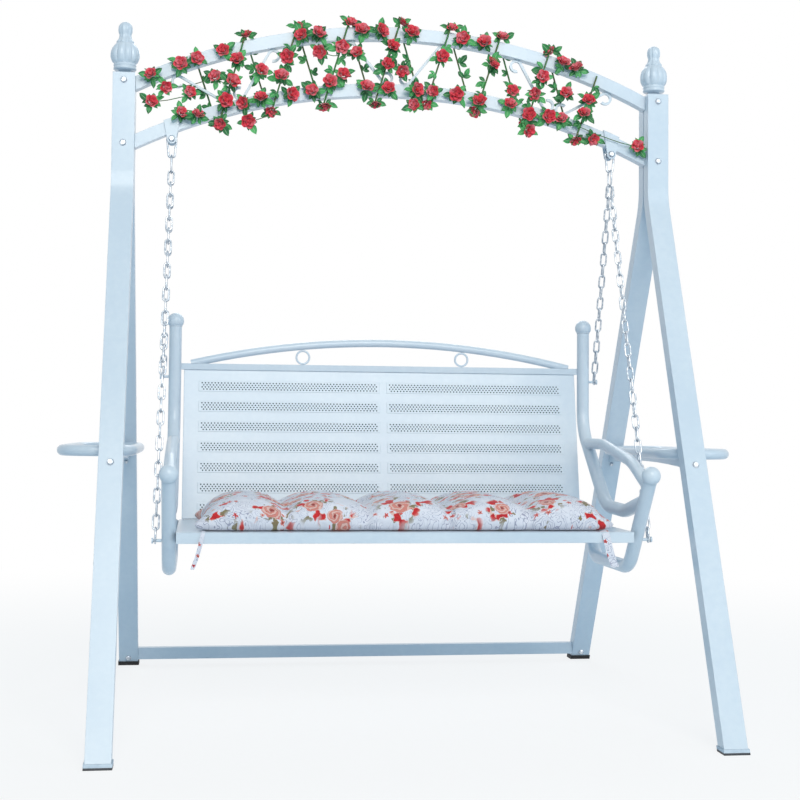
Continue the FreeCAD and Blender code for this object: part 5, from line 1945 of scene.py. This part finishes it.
@dataclass
class RoseGarland:
    """A wound stem with cloth roses and leaves."""

    stem: float = 0.0025
    stem_sides: int = 8
    stand: float = 0.023
    turns: int = 8
    reach: float = 0.575
    bend_step: float = 0.018
    overrun: float = 0.030
    resolution: int = 5
    arch_radius: float = 1.6185
    upper_centre: float = 0.261
    arch_drop: float = 0.160
    arch_half: float = 0.0175
    top_tuck: float = 0.011
    foot_tuck: float = 0.006
    twig: float = 0.0013
    twig_sides: int = 6
    twig_sag: float = 0.009
    twig_places: tuple[Pair, ...] = (
        (-0.640, 1.700), (-0.678, 1.657), (-0.597, 1.629), (-0.574, 1.687), (-0.503, 1.732),
        (-0.488, 1.607), (-0.380, 1.754), (-0.413, 1.615), (-0.216, 1.818), (-0.153, 1.753),
        (-0.113, 1.816), (0.014, 1.774), (0.049, 1.679), (0.328, 1.727), (0.485, 1.727),
        (0.372, 1.620), (0.562, 1.600), (0.694, 1.582))
    twig_bend: Pair = (0.6, 0.4)
    twig_turns: tuple[float, ...] = (0.0, 2.1, 4.2)
    tip_sizes: Sizes = ((0.85, 1.05), (0.75, 1.0))
    solid_sizes: Sizes = ((0.9, 1.08), (0.75, 1.0))
    solid_look: Place = (0, -1, 0.25)
    solid_stir: float = 0.4
    leaf_behind: float = 0.003
    turn_rise: float = 0.020
    turn_front: float = 0.012
    turn_share: float = 0.35
    turn_look: Place = (0.5, -0.8, 0.9)
    turn_lean: Ramp = (0.9, 1.5)
    turn_sizes: Sizes = ((0.85, 1.0), (0.7, 0.95))
    run_shares: tuple[float, ...] = (0.18, 0.4, 0.62, 0.85)
    run_lean: Ramp = (0.4, 1.2)
    run_sizes: Ramp = (0.6, 0.9)

    def arch_z(self, x: float, offset: float, centre: float) -> float:
        """Gives an arch's height at a place along X."""
        return centre + math.sqrt((self.arch_radius + offset) ** 2 - x * x)

    def runs(self) -> list[tuple[Vector, Vector]]:
        """Lists the straight runs of the winding.

        Returns:
            The start and end of each run, front and rear in turn.
        """
        pitch = 2 * self.reach / self.turns
        half = pitch / 2 - self.bend_step
        low = self.upper_centre - self.arch_drop
        found = []
        for turn in range(self.turns):
            x = self.reach - turn * pitch
            for depth in (-self.stand, self.stand):
                ends = (x, x - half)
                top = [self.arch_z(e, self.arch_half, self.upper_centre) - self.top_tuck
                       for e in ends]
                foot = [self.arch_z(e, -self.arch_half, low) + self.foot_tuck for e in ends]
                levels = (top[0], foot[1]) if depth < 0 else (foot[0], top[1])
                start, end = (Vector((e, APEX_Y + depth, z)) for e, z in zip(ends, levels))
                found.append((start, end))
                x -= half + self.bend_step
        return found

    def route(self) -> list[Vector]:
        """Lists the winding's own points.

        Returns:
            Each run's ends and middle, and the corners of each turn.
        """
        runs = self.runs()
        points = [runs[0][0]]
        for (start, end), (next_start, next_end) in zip(runs, runs[1:]):
            ahead = (end - start).normalized() * self.overrun
            back = (next_end - next_start).normalized() * self.overrun
            points += [start.lerp(end, 0.5), end, end + ahead, next_start - back, next_start]
        return points + [runs[-1][0].lerp(runs[-1][1], 0.5), runs[-1][1]]

    def twig_tips(self) -> list[Vector]:
        """Lists the tips of the side twigs, which hang in front of the truss."""
        return [Vector((x, APEX_Y - self.stand - self.stem, z)) for x, z in self.twig_places]

    def vine(self, finish: bpy.types.Material) -> None:
        """Winds the stem round both arches and adds its side twigs.

        Args:
            finish: its finish.
        """
        path = smooth_path("vine_line", self.route(), self.resolution)
        near, far = self.twig_bend
        bm = bmesh.new()
        add_bar(bm, path, self.stem, self.stem_sides)
        for tip in self.twig_tips():
            start = min(path, key=lambda point: (point - tip).length)
            middle = start.lerp(tip, 0.5) - Vector((0, self.twig_sag / 2, self.twig_sag))
            bend = [start, start.lerp(middle, near), middle.lerp(tip, far), tip]
            add_bar(bm, bend, self.twig, self.twig_sides)
        bmesh.ops.recalc_face_normals(bm, faces=bm.faces)
        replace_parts(piece("garland_stem", bm, [finish], Body.FRAME), "garland_vine")

    def at_solids(self, made: Bouquet) -> None:
        """Sets a rose and three sprays at each rose of the solids.

        Args:
            made: the garland's flowers and leaves.
        """
        behind = Vector((0, self.leaf_behind, 0))
        roses, sprays = self.solid_sizes
        for low, high in islands("garland_roses"):
            spot = Vector(((low.x + high.x) / 2, high.y, (low.z + high.z) / 2))
            made.bloom(spot, Vector(self.solid_look), roses)
            start = made.rng.uniform(0, math.tau)
            for k in range(3):
                stir = made.rng.uniform(-self.solid_stir, self.solid_stir)
                made.spray(spot + behind, start + math.tau * k / 3 + stir, sprays)

    def at_turns(self, made: Bouquet) -> None:
        """Sets a rose and two sprays where the stem bends over an arch.

        Args:
            made: the garland's flowers and leaves.
        """
        runs = self.runs()
        sway, front, rise = self.turn_look
        roses, sprays = self.turn_sizes
        for run, following in zip(runs, runs[1:]):
            over = math.copysign(1.0, run[1].z - run[0].z)
            spot = run[1].lerp(following[0], self.turn_share)
            spot += Vector((0, 0, over * self.turn_rise))
            spot.y = APEX_Y - self.turn_front
            look = Vector((made.rng.uniform(-sway, sway), front, over * rise))
            made.bloom(spot, look, roses)
            for side in SIDES:
                lean = side * made.rng.uniform(*self.turn_lean)
                made.spray(spot, over * math.pi / 2 + lean, sprays)

    def along_runs(self, made: Bouquet) -> None:
        """Sets sprays along each run.

        Args:
            made: the garland's flowers and leaves.
        """
        for start, end in self.runs():
            along = (end - start).normalized()
            for share in self.run_shares:
                lean = made.rng.choice(SIDES) * made.rng.uniform(*self.run_lean)
                angle = math.atan2(along.z, along.x) + lean
                made.spray(start.lerp(end, share), angle, self.run_sizes)

    def at_tips(self, made: Bouquet) -> None:
        """Sets a rose and three sprays at the tip of each side twig.

        Args:
            made: the garland's flowers and leaves.
        """
        behind = Vector((0, self.leaf_behind, 0))
        roses, sprays = self.tip_sizes
        for tip in self.twig_tips():
            made.bloom(tip, Vector((0, -1, 0)), roses)
            start = made.rng.uniform(0, math.tau)
            for turn in self.twig_turns:
                made.spray(tip + behind, start + turn, sprays)

    def sprigs(self, petals: bpy.types.Material, leaves: bpy.types.Material) -> None:
        """Sets all the roses and leaf sprays.

        Args:
            petals: the roses' finish.
            leaves: the leaves' finish.
        """
        made = Bouquet()
        for step in (self.at_solids, self.at_turns, self.along_runs, self.at_tips):
            step(made)
        roses = piece("cloth_roses", made.flowers, [petals], Body.FRAME)
        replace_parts(roses, "garland_roses")
        foliage = piece("cloth_leaves", made.foliage, [leaves], Body.FRAME)
        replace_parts(foliage, "garland_leaves")


@dataclass(frozen=True)
class SoftLamp:
    """One soft square lamp."""

    name: str
    spot: Place
    aim: Place
    size: float
    power: float
    colour: Colour

    def hang(self) -> None:
        """Hangs the lamp and turns it to its aim."""
        data = bpy.data.lights.new(self.name, "AREA")
        data.size = self.size
        data.energy = self.power
        data.color = self.colour
        away = Vector(self.aim) - Vector(self.spot)
        turn = away.to_track_quat("-Z", "Y").to_matrix().to_4x4()
        linked(self.name, data).matrix_world = Matrix.Translation(self.spot) @ turn


@dataclass
class Studio:
    """The camera of the photograph, soft lamps and a white floor."""

    pixels: float = 800.0
    focal: float = 1438.957
    sensor: float = 36.0
    shift: float = -0.04
    yaw: float = 7.9087
    pitch: float = 2.353
    roll: float = 0.4941
    spot: Place = (-0.5339, -4.0706, 0.7766)
    floor_half: float = 60.0
    floor_tone: Colour = (0.94, 0.94, 0.94)
    floor_bright: Colour = (0.96, 0.96, 0.96)
    floor_grain: Grain = (5.0, 3.0)
    floor_roughness: float = 0.9
    floor_shine: float = 0.1
    bounce: Colour = (0.70, 0.81, 0.89)
    glow: float = 0.80
    fade: Ramp = (1.0, 4.2)
    sky: Colour = (0.60, 0.86, 1.04)
    sky_strength: float = 0.45
    lamps: tuple[SoftLamp, ...] = (
        SoftLamp("key", (0.3, -7.8, 5.0), (0, 0, 0.9), 4.4, 366, (1.0, 0.955, 0.88)),
        SoftLamp("fill", (3.8, -3.6, 2.6), (0, 0, 0.9), 3.5, 34, (0.82, 0.92, 1.0)),
        SoftLamp("rim", (0.5, 4.5, 4.2), (0, 0, 1.0), 3.0, 60, (0.92, 0.96, 1.0)))

    def camera(self) -> None:
        """Sets the camera where the photograph was taken from."""
        data = bpy.data.cameras.new("view")
        data.sensor_width = self.sensor
        data.lens = self.focal / self.pixels * self.sensor
        data.shift_y = self.shift
        yaw, pitch, roll = (math.radians(value) for value in (self.yaw, self.pitch, self.roll))
        level = Vector((math.sin(yaw), math.cos(yaw), 0))
        ahead = level * math.cos(pitch) + Vector((0, 0, math.sin(pitch)))
        right = Vector((math.cos(yaw), -math.sin(yaw), 0))
        up = right.cross(ahead)
        across = right * math.cos(roll) + up * math.sin(roll)
        upright = up * math.cos(roll) - right * math.sin(roll)
        turn = Matrix((across, upright, -ahead)).transposed().to_4x4()
        obj = linked("view", data)
        obj.matrix_world = Matrix.Translation(self.spot) @ turn
        bpy.context.scene.camera = obj

    def floor_white(self) -> bpy.types.Material:
        """Makes a floor that is seen almost white and keeps the swing's shadow.

        Returns:
            The floor's material.
        """
        sh = Shader("floor_white")
        spot = sh.place()
        share = sh.maths("MULTIPLY_ADD", sh.between(sh.vector("LENGTH", spot), *self.fade),
                         1.0 - self.glow, self.glow)
        seen = sh.seen_by("Is Camera Ray", "Is Glossy Ray")
        tone = sh.mix(sh.noise(spot, *self.floor_grain), self.floor_tone, self.floor_bright)
        sh.set(Base_Color=sh.mix(seen, self.bounce, tone), Roughness=self.floor_roughness,
               Specular_IOR_Level=self.floor_shine)
        plain = sh.node("ShaderNodeEmission")
        shown = sh.blend(sh.times(seen, share), sh.surface.outputs[0], plain.outputs[0])
        sh.feed(sh.tree.nodes["Material Output"].inputs["Surface"], shown)
        return sh.material

    def light_all_round(self) -> None:
        """Lights the scene from all sides and shows plain white behind it."""
        world = bpy.data.worlds.new("light_all_round")
        bpy.context.scene.world = world
        world.use_nodes = True
        nodes = Nodes(world.node_tree)
        soft = world.node_tree.nodes["Background"]
        plain = nodes.node("ShaderNodeBackground")
        white = (1.0, 1.0, 1.0)
        for light, *values in ((soft, self.sky, self.sky_strength), (plain, white, 1.0)):
            for socket, value in zip(light.inputs, values):
                nodes.feed(socket, value)
        seen = nodes.seen_by("Is Camera Ray", "Is Glossy Ray", "Is Transmission Ray")
        shown = nodes.blend(seen, soft.outputs[0], plain.outputs[0])
        nodes.feed(world.node_tree.nodes["World Output"].inputs["Surface"], shown)

    def build(self) -> None:
        """Sets the floor, the lamps and the light all round."""
        bm = bmesh.new()
        bmesh.ops.create_grid(bm, x_segments=1, y_segments=1, size=self.floor_half)
        mesh = mesh_of(bm, "floor")
        mesh.materials.append(self.floor_white())
        floor = linked("floor", mesh)
        for lamp in self.lamps:
            lamp.hang()
        self.light_all_round()
        bpy.context.scene.view_settings.view_transform = "Standard"


def main() -> None:
    """Builds the swing's looks around its solids."""
    logging.basicConfig(level=logging.INFO, format="%(message)s")
    studio = Studio()
    studio.camera()
    studio.build()
    paint = PowderCoat().material()
    steel = BrightSteel().material()
    shell = SteelFrame()
    shell.dress({"paint": paint, "zinc": steel, "chain_steel": steel,
                 "rubber": FootRubber().material(), "front_foot": FootCap().material()})
    shell.finials(paint)
    ChainSet().strands(steel)
    bench = SeatBench()
    bench.caps(paint)
    bench.rings(paint)
    bench.back(paint, PaintedHoleShade().material())
    StuffedCushion().build(FlowerCloth().material())
    ribbon_cloth = FlowerCloth("ribbon_cloth", rose_radius=0.0001, small_cell=0.026,
                               small_radius=0.0062).material()
    for ribbon in RIBBONS:
        ribbon.build(ribbon_cloth)
    garland = RoseGarland()
    garland.vine(VineStem().material())
    garland.sprigs(PetalCloth().material(), LeafCloth().material())


if __name__ == "__main__":
    main()
